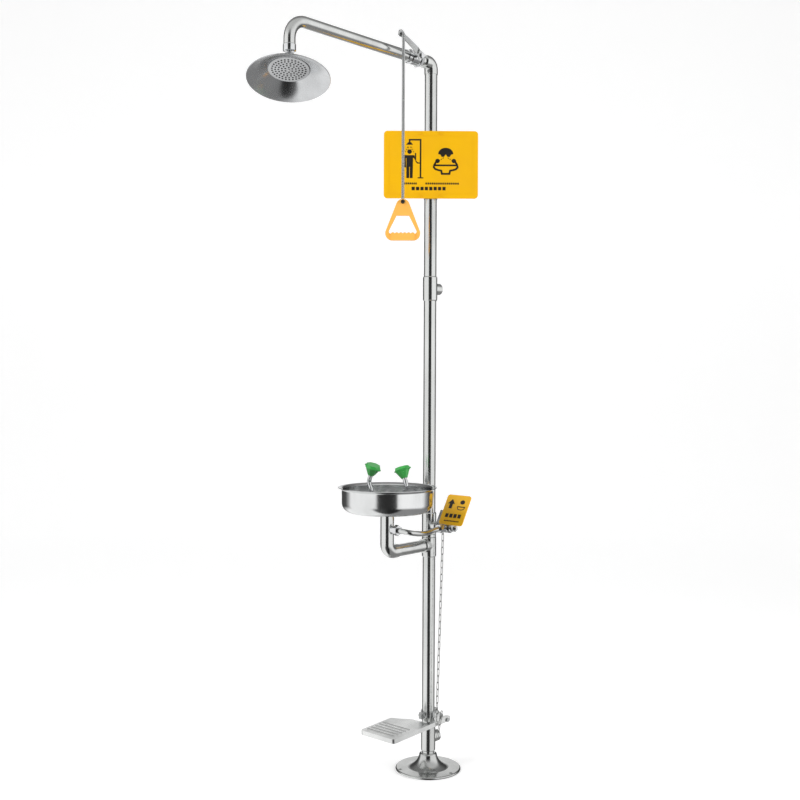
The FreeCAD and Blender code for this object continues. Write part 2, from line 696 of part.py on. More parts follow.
def spray_plate(at):
    body = new_body("spray_plate")
    disc = new_sketch(body, "Disc", "XY_Plane", "0 - spray_depth - 2")
    draw_circle(disc, ("0", "0"), "spray_radius - 0.5")
    draw_circle(disc, ("0", "0"), "2.4")
    pad = body.newObject("PartDesign::Pad", "Plate")
    pad.Profile = disc
    pad.Length = 2
    last = pad
    for ring in range(1, 6):
        spot = new_sketch(body, "Hole%d" % ring, "XY_Plane", "0 - spray_depth")
        turn = math.radians(15 * ring)
        out = 2 + 9 * ring
        draw_circle(spot, ("%.4f" % (out * math.cos(turn)), "%.4f" % (out * math.sin(turn))), "2")
        doc.recompute()
        hole = body.newObject("PartDesign::Pocket", "Drill%d" % ring)
        hole.Profile = spot
        hole.Length = 3
        pattern = body.newObject("PartDesign::PolarPattern", "Ring%d" % ring)
        pattern.Originals = [hole]
        pattern.Axis = (spot, ["N_Axis"])
        pattern.Angle = 360
        pattern.Occurrences = 6 * ring
        body.Tip = pattern
    return place(body, at, head_turn())


# ---------------------------------------------------------------- sign

def sign():
    rotation = axes(across_viewer(), -toward_viewer())
    start, steps = rounded_box("sign_width", "sign_height", "sign_corner", "0 - sign_height / 2")
    holes = [(("sign_screw_x * %d" % side, "sign_screw_z * %d" % level), "3")
             for side in (-1, 1) for level in (-1, 1)]
    out = "sign_gap + sign_thick / 2"
    at = ("(%s) * sin(facing)" % out, "0 - (%s) * cos(facing)" % out, "sign_z")
    keep(cut_sheet("sign_panel", "XZ_Plane", start, steps, "sign_thick", holes, at, rotation), "sign_panel")
    straps, screws, nuts = [], [], []
    for level in (-1, 1):
        height = "sign_z + sign_screw_z * %d" % level
        straps.append(strap("strap_%s" % ("low" if level < 0 else "high"), height, rotation))
        for side in (-1, 1):
            name = "sign_%d_%d" % (level + 1, side + 1)
            across = "sign_screw_x * %d" % side
            spot = sign_spot(across, "sign_gap + sign_thick", height)
            shank = cylinder(name + "_shank", "2.9", "12", spot, axes(Vector(0, 0, 1), across_viewer()))
            head = cylinder(name + "_head", "4.2", "2.4", spot, axes(Vector(0, 0, -1), across_viewer()))
            corner = sign_spot(across + " - 0.7", "sign_gap + sign_thick + 1.4", height + " + 7")
            slot = box(name + "_slot", ("14", "1.4", "2"), corner, axes(Vector(0, 0, -1), across_viewer()))
            screws.append(cut(name + "_screw", fuse(name + "_solid", [shank, head]), [slot]))
            seat = sign_spot(across, "sign_gap - 2.2", height)
            body = hexagon(name + "_nut", "10", "4", seat, axes(Vector(0, 0, 1), across_viewer()))
            hole = cylinder(name + "_nut_hole", "2.9", "6", seat, axes(Vector(0, 0, 1), across_viewer()))
            nuts.append(cut(name + "_nut_cut", body, [hole]))
    keep(compound("sign_straps", straps), "sign_straps")
    keep(compound("sign_screws", screws), "sign_screws")
    return nuts


def sign_spot(across, out, height):
    """A place given across and out from the post, in the sign's own directions."""
    return ("(%s) * cos(facing) + (%s) * sin(facing)" % (across, out),
            "(%s) * sin(facing) - (%s) * cos(facing)" % (across, out), height)


def strap(name, height, rotation):
    """A band round the back of the post with two flat ears that lie on the sign."""
    wall = "2"
    ring = cylinder(name + "_ring", "post_radius + %s" % wall, "16", ("0", "0", "-8"))
    bore = cylinder(name + "_bore", "post_radius", "16", ("0", "0", "-8"))
    front = box(name + "_front", ("80", "40", "18"), ("-40", "0 - 40", "-9"))
    half = cut(name + "_half", ring, [bore, front])
    parts = [half]
    for side in (-1, 1):
        corner = "post_radius" if side > 0 else "0 - post_radius - %s" % wall
        parts.append(box(name + "_leg%d" % (side + 1), (wall, "sign_gap - 0.1", "16"),
                         (corner, "0.1 - sign_gap", "-8")))
        ear = "post_radius" if side > 0 else "0 - sign_screw_x - 9"
        parts.append(box(name + "_ear%d" % (side + 1), ("sign_screw_x + 9 - post_radius", "2.1", "16"),
                         (ear, "0.1 - sign_gap", "-8")))
    holes = [cylinder(name + "_hole%d" % (side + 1), "3", "6",
                      ("sign_screw_x * %d" % side, "4 - sign_gap", "0"), "front") for side in (-1, 1)]
    solid = cut(name + "_cut", fuse(name + "_join", parts), holes)
    holder = doc.addObject("Part::Compound", short_name(name))
    holder.Links = [solid]
    return place(holder, ("0", "0", height), rotation)


# ---------------------------------------------------------------- bowl and drain

BOWL_AT = ("0", "0 - bowl_y", "0")


def bowl():
    knee = "bowl_knee"
    keep(turned("bowl", ("spigot_radius", "column_top - 5"), [
        ("spigot_radius", "bowl_low_z - 1"),
        ("bowl_radius - bowl_knee", "bowl_floor_z"),
        ("bowl_radius", "bowl_floor_z + bowl_knee", knee, 1),
        ("bowl_radius + 0.5", "rim_z - 7"),
        ("lip_radius", "rim_z", "22", -1),
        ("lip_radius - 0.8", "rim_z + 1.4"),
        ("bowl_radius - 1.2", "rim_z - 6.4", "23.5", 1),
        ("bowl_radius - bowl_wall", "bowl_floor_z + bowl_knee"),
        ("bowl_radius - bowl_knee", "bowl_floor_z + bowl_wall", "bowl_knee - bowl_wall", -1),
        ("spigot_radius - bowl_wall", "bowl_low_z + 0.6"),
        ("spigot_radius - bowl_wall", "column_top - 5"),
    ], BOWL_AT), "bowl")
    grid = turned("grid_disc", ("12.2", "bowl_low_z + 2.5"), [
        ("30", "bowl_low_z + 4.5"), ("30", "bowl_low_z + 6"), ("12.2", "bowl_low_z + 6"),
    ], BOWL_AT)
    slots = []
    for number in range(12):
        angle = 30 * number
        slots.append(cylinder("grid_hole_%d" % number, "2.6", "9",
                              ("21 * cos(%d)" % angle, "21 * sin(%d) - bowl_y" % angle, "bowl_low_z")))
    keep(cut("bowl_strainer", grid, slots), "bowl_strainer")


def drain():
    """The column under the bowl, its elbow, and the pipe back to the post."""
    drop = "column_top - drain_z - column_bend"
    steps = [("0", drop), ("column_bend", "column_top - drain_z", "column_bend", -1),
             ("column_bend + 18", "column_top - drain_z")]
    down_back = axes(Vector(0, 1, 0), Vector(1, 0, 0))
    at = ("0", "0 - bowl_y", "column_top")
    outer = bent_tube("column_outer", ("0", "0"), steps, "column_radius", None, at, down_back)
    inner = bent_tube("column_inner", ("0", "0"), steps, "drain_pipe_bore", None, at, down_back)
    mouth = cylinder("column_mouth", "drain_pipe_radius", "16",
                     ("0", "2 + column_bend - bowl_y", "drain_z"), "back")
    cup = cylinder("column_cup", "spigot_radius", "20", ("0", "0 - bowl_y", "column_top - 6"))
    side = cylinder("column_side", "10", "40", ("0", "0 - bowl_y", "valve_z + 8"), "right")
    keep(cut("drain_column", outer, [inner, mouth, cup, side]), "drain_column")
    start = "2 + column_bend - bowl_y"
    length = "bowl_y - column_bend - 2 - fitting_radius + 3"
    pipe = cylinder("drain_pipe_outer", "drain_pipe_radius", length, ("0", start, "drain_z"), "back")
    bore = cylinder("drain_pipe_inner", "drain_pipe_bore", length, ("0", start, "drain_z"), "back")
    keep(cut("drain_pipe", pipe, [bore]), "drain_pipe")


def feed_riser():
    """The inner water tube: side stub through the column, then straight up to the manifold."""
    level = "valve_z + 8"
    stub = cylinder("riser_stub", "10", "34", ("0", "0 - bowl_y", level), "right")
    stem = cylinder("riser_stem", "riser_radius", "manifold_z - valve_z - 18", BOWL_AT[:2] + (level,))
    ball = sphere("riser_knee", "10", BOWL_AT[:2] + (level,))
    bore_side = cylinder("riser_bore_side", "5.5", "40", ("0", "0 - bowl_y", level), "right")
    bore_up = cylinder("riser_bore_up", "5.5", "120", BOWL_AT[:2] + (level,))
    keep(cut("feed_riser", fuse("riser_solid", [stub, stem, ball]), [bore_side, bore_up]), "feed_riser")
    block = turned("manifold_block", ("riser_radius", "manifold_z - 14"), [
        ("12", "manifold_z - 14"), ("12", "manifold_z - 9"), ("15", "manifold_z - 9"),
        ("15", "manifold_z + 8"), ("12", "manifold_z + 11", "3", 1), ("0", "manifold_z + 11"),
        ("0", "manifold_z"), ("riser_radius", "manifold_z"),
    ], BOWL_AT)
    arm = cylinder("manifold_arm", "10", "44", ("-22", "0 - bowl_y", "manifold_z"), "right")
    bore = cylinder("manifold_bore", "tube_radius", "46", ("-23", "0 - bowl_y", "manifold_z"), "right")
    feed = cylinder("manifold_feed", "5.5", "20", BOWL_AT[:2] + ("manifold_z - 20",))
    keep(cut("spray_manifold", fuse("manifold_solid", [block, arm]), [bore, feed]), "spray_manifold")
    nut_hexagon = hexagon("column_nut_hexagon", "29", "13", ("34", "0 - bowl_y", level), "right")
    collar = cylinder("column_nut_collar", "12.5", "13", ("column_radius", "0 - bowl_y", level), "right")
    hole = cylinder("column_nut_hole", "feed_radius", "40", ("33", "0 - bowl_y", level), "right")
    stub_hole = cylinder("column_nut_stub", "10", "34", ("0", "0 - bowl_y", level), "right")
    return cut("column_union_nut", fuse("column_nut_solid", [nut_hexagon, collar]), [hole, stub_hole])


def feed_pipe():
    """The bent supply tube from the eyewash valve round to the column."""
    level = size("valve_z") + 8
    low = size("valve_z")
    valve_x, bowl_y = size("valve_x"), size("bowl_y")
    poles = [
        Vector(34.1, -bowl_y, level),
        Vector(60, -bowl_y, level),
        Vector(96, -bowl_y, level - 4),
        Vector(94, -bowl_y + 60, low - 4),
        Vector(valve_x + 4, -bowl_y + 100, low - 7),
        Vector(valve_x, -70, low),
        Vector(valve_x, -34, low),
    ]
    curve = Part.BSplineCurve()
    curve.buildFromPoles(poles, False, 3)
    path = Part.Wire([curve.toShape()])
    radius = size("feed_radius")
    tubes = []
    for reach in (radius, radius - 1.5):
        ring = Part.Wire([Part.makeCircle(reach, poles[0], Vector(1, 0, 0))])
        tubes.append(path.makePipeShell([ring], True, False))
    item = doc.addObject("Part::Feature", "FeedPipe")
    item.Shape = tubes[0].cut(tubes[1]).Solids[0]
    keep(item, "feed_pipe")


# ---------------------------------------------------------------- spray heads

def spray_side(number):
    """Placement about the bowl axis: 0 keeps a piece on the right, 1 swings it to the left."""
    return Placement(Vector(0, -size("bowl_y"), 0), Rotation(Vector(0, 0, 1), 180 * number))


def mount_spray(body, number, at=None, turn=None):
    local = Placement(Vector(*[size(value) for value in at]) if at else Vector(), turn or Rotation())
    body.Placement = spray_side(number).multiply(local)
    body.setExpression("Placement.Base.y", bound("0 - bowl_y"))
    return body


def spray_pair(number, side):
    lean = size("nozzle_lean")
    head_at = ("nozzle_x", "0", "nozzle_z")
    head_turned = Rotation(Vector(0, 1, 0), -lean)
    tail = ("nozzle_x + tube_tail * sin(nozzle_lean)", "nozzle_z - tube_tail * cos(nozzle_lean)")
    waist = (tail[0] + " - tube_turn * (cos(nozzle_lean) - cos(tube_flare))",
             tail[1] + " - tube_turn * (sin(nozzle_lean) + sin(tube_flare))")
    foot = (waist[0] + " - flare_turn * (1 - cos(tube_flare))", waist[1] + " - flare_turn * sin(tube_flare)")
    steps = [
        (foot[0] + " - tube_bend", "manifold_z"),
        (foot[0], "manifold_z + tube_bend", "tube_bend", 1),
        foot,
        waist + ("flare_turn", -1),
        tail + ("tube_turn", 1),
        ("nozzle_x", "nozzle_z"),
    ]
    tubes = []
    for name, radius in (("outer", "tube_radius"), ("inner", "tube_radius - 1.4")):
        body = new_body("%s_tube_%s" % (side, name))
        path = new_sketch(body, "Path", "XZ_Plane")
        draw(path, ("13", "manifold_z"), steps, closed=False)
        ring = new_sketch(body, "Ring", "YZ_Plane", "13")
        draw_circle(ring, ("0", "manifold_z"), radius)
        doc.recompute()
        sweep = body.newObject("PartDesign::AdditivePipe", "Sweep")
        sweep.Profile = ring
        sweep.Spine = (path, ["Edge%d" % (edge + 1) for edge in range(len(steps))])
        tubes.append(mount_spray(body, number))
    keep(mount_spray(cap("%s_cap" % side), number, head_at, head_turned), "%s_dust_cap" % side)
    tube = cut("%s_spray_tube" % side, tubes[0], [tubes[1]])
    head = mount_spray(funnel("%s_funnel" % side), number, head_at, head_turned)
    disc = mount_spray(rose("%s_rose" % side), number, head_at, head_turned)
    return tube, head, disc


def octagon(sketch, radius, start_angle=22.5):
    spots = []
    for corner in range(8):
        angle = math.radians(start_angle + 45 * corner)
        spots.append(("(%s) * %.5f" % (radius, math.cos(angle)), "(%s) * %.5f" % (radius, math.sin(angle))))
    draw(sketch, spots[0], spots[1:] + [spots[0]])


def funnel(name):
    """Eight-sided spray cup: a loft from the tube up to the rim, bored for the rose."""
    body = new_body(name)
    low = new_sketch(body, "Low", "XY_Plane")
    octagon(low, "nozzle_low")
    high = new_sketch(body, "High", "XY_Plane", "nozzle_height")
    octagon(high, "nozzle_high")
    doc.recompute()
    loft = body.newObject("PartDesign::AdditiveLoft", "Cup")
    loft.Profile = low
    loft.Sections = [high]
    loft.Ruled = True
    mouth = new_sketch(body, "Mouth", "XY_Plane", "nozzle_height")
    draw_circle(mouth, ("0", "0"), "nozzle_high - 6")
    doc.recompute()
    room = body.newObject("PartDesign::Pocket", "Room")
    room.Profile = mouth
    room.Length = 8
    feed = new_sketch(body, "Feed", "XY_Plane", "nozzle_height")
    draw_circle(feed, ("0", "0"), "4")
    doc.recompute()
    bore = body.newObject("PartDesign::Pocket", "Bore")
    bore.Profile = feed
    bore.Type = 1
    for number, side in enumerate((-1, 1)):
        ear = new_sketch(body, "Ear%d" % number, "XZ_Plane", "6.7 * %d" % side)
        draw(ear, ("nozzle_high - 6", "nozzle_height - 5"), [
            ("hinge_x", "nozzle_height - 2.2"),
            ("hinge_x", "nozzle_height + 2.2", "2.21", 1),
            ("hinge_x - 2", "nozzle_height"),
            ("nozzle_high - 6", "nozzle_height"),
            ("nozzle_high - 6", "nozzle_height - 5"),
        ])
        doc.recompute()
        lug = body.newObject("PartDesign::Pad", "Lug%d" % number)
        lug.Profile = ear
        lug.Length = 3
        lug.Midplane = True
    body.Tip = lug
    return body


def rose(name):
    """The perforated disc that softens the jet."""
    body = new_body(name)
    disc = new_sketch(body, "Disc", "XY_Plane", "nozzle_height - 4")
    draw_circle(disc, ("0", "0"), "nozzle_high - 6")
    pad = body.newObject("PartDesign::Pad", "Disc_pad")
    pad.Profile = disc
    pad.Length = 3
    for ring, count in ((1, 6), (2, 12)):
        spot = new_sketch(body, "Hole%d" % ring, "XY_Plane", "nozzle_height - 1")
        draw_circle(spot, ("7 * %d" % ring, "0"), "1.2")
        doc.recompute()
        hole = body.newObject("PartDesign::Pocket", "Drill%d" % ring)
        hole.Profile = spot
        hole.Length = 4
        pattern = body.newObject("PartDesign::PolarPattern", "Ring%d" % ring)
        pattern.Originals = [hole]
        pattern.Axis = (spot, ["N_Axis"])
        pattern.Angle = 360
        pattern.Occurrences = count
        body.Tip = pattern
    return body


def cap(name):
    """The hinged dust cap: an eight-sided lid with a finger tab on the inner side."""
    body = new_body(name)
    low = new_sketch(body, "Low", "XY_Plane", "nozzle_height + 0.1")
    octagon(low, "nozzle_high + 1")
    high = new_sketch(body, "High", "XY_Plane", "nozzle_height + cap_height")
    octagon(high, "nozzle_high - 3")
    doc.recompute()
    loft = body.newObject("PartDesign::AdditiveLoft", "Lid")
    loft.Profile = low
    loft.Sections = [high]
    loft.Ruled = True
    tab = new_sketch(body, "Tab", "XY_Plane", "nozzle_height + 0.1")
    draw(tab, ("0 - nozzle_high + 3", "-6"), [
        ("0 - nozzle_high + 3", "6"), ("0 - nozzle_high - 5", "5"), ("0 - nozzle_high - 5", "-5", "8", 1),
        ("0 - nozzle_high + 3", "-6"),
    ])
    doc.recompute()
    lip = body.newObject("PartDesign::Pad", "FingerTab")
    lip.Profile = tab
    lip.Length = 3
    eye = new_sketch(body, "Eye", "XZ_Plane")
    draw(eye, ("nozzle_high - 4", "nozzle_height + 0.1"), [
        ("hinge_x - 2.2", "nozzle_height + 0.1"),
        ("hinge_x + 2.2", "nozzle_height + 0.1", "2.25", 1),
        ("hinge_x", "nozzle_height + 2.3", "2.25", 1),
        ("nozzle_high - 4", "nozzle_height + 3"),
        ("nozzle_high - 4", "nozzle_height + 0.1"),
    ])
    doc.recompute()
    knuckle = body.newObject("PartDesign::Pad", "Knuckle")
    knuckle.Profile = eye
    knuckle.Length = 9.6
    knuckle.Midplane = True
    body.Tip = knuckle
    return body


# ---------------------------------------------------------------- eyewash valve and push plate

VALVE_AT = ("valve_x", "0", "valve_z")


def on_valve(x):
    return x, "0", "valve_z"


def eyewash_valve():
    nipple = cylinder("supply_nipple_outer", "10", "valve_x - 32", on_valve("19"), "right")
    bore = cylinder("supply_nipple_inner", "7", "valve_x - 32", on_valve("19"), "right")
    waist = cylinder("supply_waist_outer", "12", "12", on_valve("cheek_left - 4"), "right")
    waist_core = cylinder("supply_waist_core", "9", "12", on_valve("cheek_left - 4"), "right")
    groove = cut("supply_waist", waist, [waist_core])
    keep(cut("supply_nipple", nipple, [bore, groove]), "supply_nipple")
    casing = turned("eyewash_casing", ("0", "0"), [
        ("14", "0"), ("14", "5"), ("valve_radius", "9"), ("valve_radius", "29"),
        ("13", "33"), ("13", "38"), ("0", "38"),
    ], on_valve("valve_x - 19"), "right")
    outlet = cylinder("eyewash_outlet", "10.5", "34", VALVE_AT, "front")
    tools = [
        cylinder("eyewash_inlet", "10", "7", on_valve("valve_x - 20"), "right"),
        cylinder("eyewash_passage", "7", "20", on_valve("valve_x - 20"), "right"),
        cylinder("eyewash_room", "12.5", "22", on_valve("valve_x - 11"), "right"),
        cylinder("eyewash_stem_hole", "stem_radius + 0.1", "40", VALVE_AT, "right"),
        cylinder("eyewash_out_bore", "5.5", "40", VALVE_AT, "front"),
    ]
    inlet = cylinder("eyewash_neck", "14", "5", on_valve("valve_x - 19"), "right")
    body = cut("eyewash_valve_body", fuse("eyewash_solid", [casing, outlet, inlet]), tools)
    keep(body, "eyewash_valve_body")
    ball = sphere("eyewash_ball_round", "10", VALVE_AT)
    entry = cylinder("eyewash_ball_entry", "5.5", "20", VALVE_AT, "left")
    port = cylinder("eyewash_ball_port", "5.5", "20", VALVE_AT, "down")
    flat = box("eyewash_ball_flat", ("10", "30", "30"), ("valve_x + 8", "-15", "valve_z - 15"))
    keep(cut("eyewash_ball", ball, [entry, port, flat]), "eyewash_ball")
    seat = cylinder("eyewash_seat_ring", "8.5", "6", ("valve_x", "-5.8", "valve_z"), "front")
    seat_hole = cylinder("eyewash_seat_hole", "5.5", "8", ("valve_x", "-5", "valve_z"), "front")
    seat_room = sphere("eyewash_seat_room", "10.15", VALVE_AT)
    chamber = cylinder("eyewash_seat_chamber", "12.45", "22", on_valve("valve_x - 11"), "right")
    seat_body = common("eyewash_seat_trim", [seat, chamber])
    eyewash_seat = cut("eyewash_seat", seat_body, [seat_hole, seat_room])
    eyewash_gland = gland_nut("eyewash_gland", "20", on_valve("valve_x + 19"))
    stem = cylinder("eyewash_stem", "stem_radius", "cheek_right - valve_x", on_valve("valve_x + 8"), "right")
    keep(stem, "eyewash_stem")
    front_nut = hexagon("outlet_nut_hexagon", "25", "14", ("valve_x", "-33", "valve_z"), "front")
    nut_room = cylinder("outlet_nut_room", "10.5", "1.1", ("valve_x", "-32.9", "valve_z"), "front")
    nut_hole = cylinder("outlet_nut_hole", "feed_radius + 0.3", "20", ("valve_x", "-33", "valve_z"), "front")
    outlet_nut = cut("valve_union_nut", front_nut, [nut_room, nut_hole])
    return eyewash_seat, eyewash_gland, outlet_nut


def on_yoke(x, out, up):
    """A place given in the leaning plate's own directions, out and up from the valve axis."""
    return (x, "(%s) * sin(plate_lean) - (%s) * cos(plate_lean)" % (up, out),
            "valve_z + (%s) * sin(plate_lean) + (%s) * cos(plate_lean)" % (out, up))


def push_yoke():
    """Folded bracket: two cheeks that turn about the valve's axis and a web that carries the plate."""
    web_low = "0 - plate_distance"
    tilt = Rotation(Vector(1, 0, 0), -size("plate_lean"))
    left_edge = "cheek_left - 1.5"
    right_edge = "cheek_right + 1.5"
    foot = ("0 - plate_distance", "0 - 4")
    along_arm, across_arm = "cos(chain_arm_angle + plate_lean)", "sin(chain_arm_angle + plate_lean)"
    eye = ("chain_arm * " + along_arm, "chain_arm * " + across_arm)
    front = [("8", "3 - cheek_radius"), ("cheek_radius - 0.2", "0"), ("cheek_radius - 1", "5")]
    tab = [
        (eye[0] + " + eye_radius * " + across_arm, eye[1] + " - eye_radius * " + along_arm),
        (eye[0] + " + eye_radius * " + along_arm, eye[1] + " + eye_radius * " + across_arm, "eye_radius", 1),
        (eye[0] + " - eye_radius * " + across_arm, eye[1] + " + eye_radius * " + along_arm, "eye_radius", 1),
    ]
    blunt = [("8", "cheek_radius - 3"), ("3", "cheek_radius")]
    cheeks = []
    for name, middle, end, holes in (
        ("left", "cheek_left", tab, [(("0", "0"), "9.15"), (eye, "2.6")]),
        ("right", "cheek_right", blunt, [(("0", "0"), "stem_radius")]),
    ):
        steps = [("0 - 4", "0 - cheek_radius"), ("3", "0 - cheek_radius")] + front + end + [
            ("3 - plate_distance", "48"), ("0 - plate_distance", "48"), foot]
        cheeks.append(cut_sheet("cheek_" + name, "YZ_Plane", foot, steps, "3", holes,
                                (middle, "0", "valve_z"), tilt))
    web = box("yoke_web", ("%s - (%s)" % (right_edge, left_edge), "3", "44"), (left_edge, web_low, "4"))
    holder = doc.addObject("Part::Compound", "YokeWebPlaced")
    holder.Links = [web]
    place(holder, ("0", "0", "valve_z"), tilt)
    keep(fuse("push_yoke", cheeks + [holder]), "push_yoke")
    start, steps = rounded_box("plate_width", "plate_height", "9")
    keep(cut_sheet("push_plate", "XZ_Plane", start, steps, "plate_thick", (),
                   on_yoke("plate_x", "plate_distance", "0"), tilt, middle=False), "push_plate")
    nut = hexagon("yoke_nut_hexagon", "14", "4.5", on_valve("cheek_right + 1.5"), "right")
    nut_hole = cylinder("yoke_nut_hole", "stem_radius", "8", on_valve("cheek_right"), "right")
    keep(cut("yoke_nut", nut, [nut_hole]), "yoke_nut")


# ---------------------------------------------------------------- chain

LINK_LENGTH = 26.0
LINK_WIDTH = 9.2
LINK_WIRE = 1.05


def link(centre, along_way, flat_way):
    """One oval chain link as a solid ring of round wire."""
    half = LINK_LENGTH / 2 - LINK_WIDTH / 2
    bend = LINK_WIDTH / 2 - LINK_WIRE
    side = flat_way * bend
    run = along_way * half
    corners = [centre + side + run, centre - side + run, centre - side - run, centre + side - run]
    tips = [centre + run + along_way * bend, centre - run - along_way * bend]
    path = Part.Wire([
        Part.Arc(corners[0], tips[0], corners[1]).toShape(),
        Part.makeLine(corners[1], corners[2]),
        Part.Arc(corners[2], tips[1], corners[3]).toShape(),
        Part.makeLine(corners[3], corners[0]),
    ])
    ring = Part.Wire([Part.makeCircle(LINK_WIRE, corners[1], along_way)])
    return path.makePipeShell([ring], True, False)


def ring_solid(centre, normal, radius, wire):
    return Part.makeTorus(radius, wire, centre, normal)


def chain():
    """The chain from the yoke's rear lug down to the pedal's lug, with a ring at each end."""
    angle = math.radians(size("chain_arm_angle"))
    arm = size("chain_arm")
    top = Vector(size("cheek_left"), arm * math.cos(angle), size("valve_z") + arm * math.sin(angle))
    end = Vector(pedal_lug_x(), size("pivot_y + lug_y"), size("pivot_z + lug_z"))
    down = end - top
    down.normalize()
    side = Vector(1, 0, 0) - down * down.x
    side.normalize()
    other = down.cross(side)
    ring_radius, ring_wire = 6.0, 1.1
    hook_radius, hook_wire = 7.0, 1.3
    first = top + down * ring_radius
    last = end - down * hook_radius
    pitch = LINK_LENGTH - 4 * LINK_WIRE - 0.25
    reach = (last - first).Length
    grip = ring_radius - ring_wire - LINK_WIRE - 0.1
    run = reach - grip - (hook_radius - hook_wire - LINK_WIRE - 0.1) - (LINK_LENGTH - 2 * LINK_WIRE)
    count = int(round(run / pitch)) + 1
    step = run / (count - 1)
    begin = first + down * (grip + LINK_LENGTH / 2 - LINK_WIRE)
    links = [ring_solid(first, other, ring_radius, ring_wire),
             ring_solid(last, other, hook_radius, hook_wire)]
    for number in range(count):
        flat = other if number % 2 == 0 else side
        links.append(link(begin + down * (step * number), down, flat))
    item = doc.addObject("Part::Feature", "Chain")
    item.Shape = Part.makeCompound(links)
    keep(item, "chain")


# ---------------------------------------------------------------- pedal

def pedal_lug_x():
    return size("pedal_right") - 4.5


def pedal_outline(inset):
    """Plan of the foot plate, drawn in from its edge by an inset; the pivot is at the origin."""
    right = "pedal_right - %s" % inset
    left = "%s - pedal_left" % inset
    front = "%s - pedal_front" % inset
    inner = "tail_inner + %s" % inset
    nose = "tail_nose - %s" % inset
    start = (right, "12 - pedal_front")
    return start, [
        (right, "tail_nose - 6"),
        ("pedal_right - 6", nose, "6 - %s" % inset, 1),
        ("tail_inner + 6", nose),
        (inner, "tail_nose - 6", "6 - %s" % inset, 1),
        (inner, "-76"),
        ("tail_inner - 6", "-82 - %s" % inset, "6 + %s" % inset, -1),
        ("-22", "-82 - %s" % inset),
        ("-52", "-94 - %s" % inset, "60", 1),
        ("8 - pedal_left", "-110 - %s" % inset, "90", -1),
        (left, "-118", "8 - %s" % inset, 1),
        (left, "12 - pedal_front"),
        ("12 - pedal_left", front, "12 - %s" % inset, 1),
        ("pedal_right - 12", front),
        (right, "12 - pedal_front", "12 - %s" % inset, 1),
    ]


def pedal():
    """Pressed foot plate with a turned-down skirt, five ribs, a pivot tail and a chain lug."""
    rotation = Rotation(Vector(1, 0, 0), size("pedal_slope"))
    at = ("0", "pivot_y", "pivot_z")
    body = new_body("pedal_press")
    outline = new_sketch(body, "Outline", "XY_Plane", "pedal_top - pedal_skirt")
    draw(outline, *pedal_outline("0"))
    pad = body.newObject("PartDesign::Pad", "Block")
    pad.Profile = outline
    pad.setExpression("Length", bound("pedal_skirt"))
    inside = new_sketch(body, "Inside", "XY_Plane", "pedal_top - pedal_skirt")
    draw(inside, *pedal_outline("pedal_sheet"))
    doc.recompute()
    hollow = body.newObject("PartDesign::Pocket", "Hollow")
    hollow.Profile = inside
    hollow.setExpression("Length", bound("pedal_skirt - pedal_sheet"))
    hollow.Reversed = True
    body.Tip = hollow
    place(body, at, rotation)
    extras = []
    for number in range(5):
        rib_y = "24 - pedal_front + 18 * %d" % number
        rib = cylinder("rib_%d" % number, "5", "104", ("14 - pedal_left", rib_y, "pedal_top - 2.8"), "right")
        ends = [sphere("rib_end_%d_%d" % (number, side), "5",
                       ("14 - pedal_left + 104 * %d" % side, rib_y, "pedal_top - 2.8")) for side in (0, 1)]
        clear = box("rib_clear_%d" % number, ("140", "14", "8"),
                    ("4 - pedal_left", rib_y + " - 7", "pedal_top - pedal_sheet / 2 - 8"))
        extras.append(cut("rib_top_%d" % number, fuse("rib_bar_%d" % number, [rib] + ends), [clear]))
    lug = cut_sheet("pedal_lug", "YZ_Plane", ("lug_y - 7", "pedal_top - 1"), [
        ("lug_y + 13", "pedal_top - 1"), ("lug_y + 13", "lug_z - 2"), ("lug_y + 5", "lug_z + 7.5", "9", 1),
        ("lug_y - 1", "lug_z + 7.5"), ("lug_y - 7", "lug_z + 1", "8", 1), ("lug_y - 7", "pedal_top - 1"),
    ], "2.5", (), ("pedal_right - 4.5", "0", "0"))
    slot_start, slot_steps = rounded_box("14", "9.5", "4.4", "lug_z - 4.5")
    window = cut_sheet("lug_window", "YZ_Plane", slot_start, slot_steps, "6", (),
                       ("pedal_right - 4.5", "lug_y + 3", "0"))
    bolt = cylinder("pedal_pivot_hole", "4.2", "60", ("0", "0", "0"), "right")
    fit = doc.addObject("Part::Compound", "PedalExtras")
    fit.Links = extras + [cut("lug_cut", lug, [window])]
    place(fit, at, rotation)
    drill = doc.addObject("Part::Compound", "PedalDrill")
    drill.Links = [bolt]
    place(drill, at, rotation)
    keep(cut("pedal", fuse("pedal_solid", [body, fit]), [drill]), "pedal")


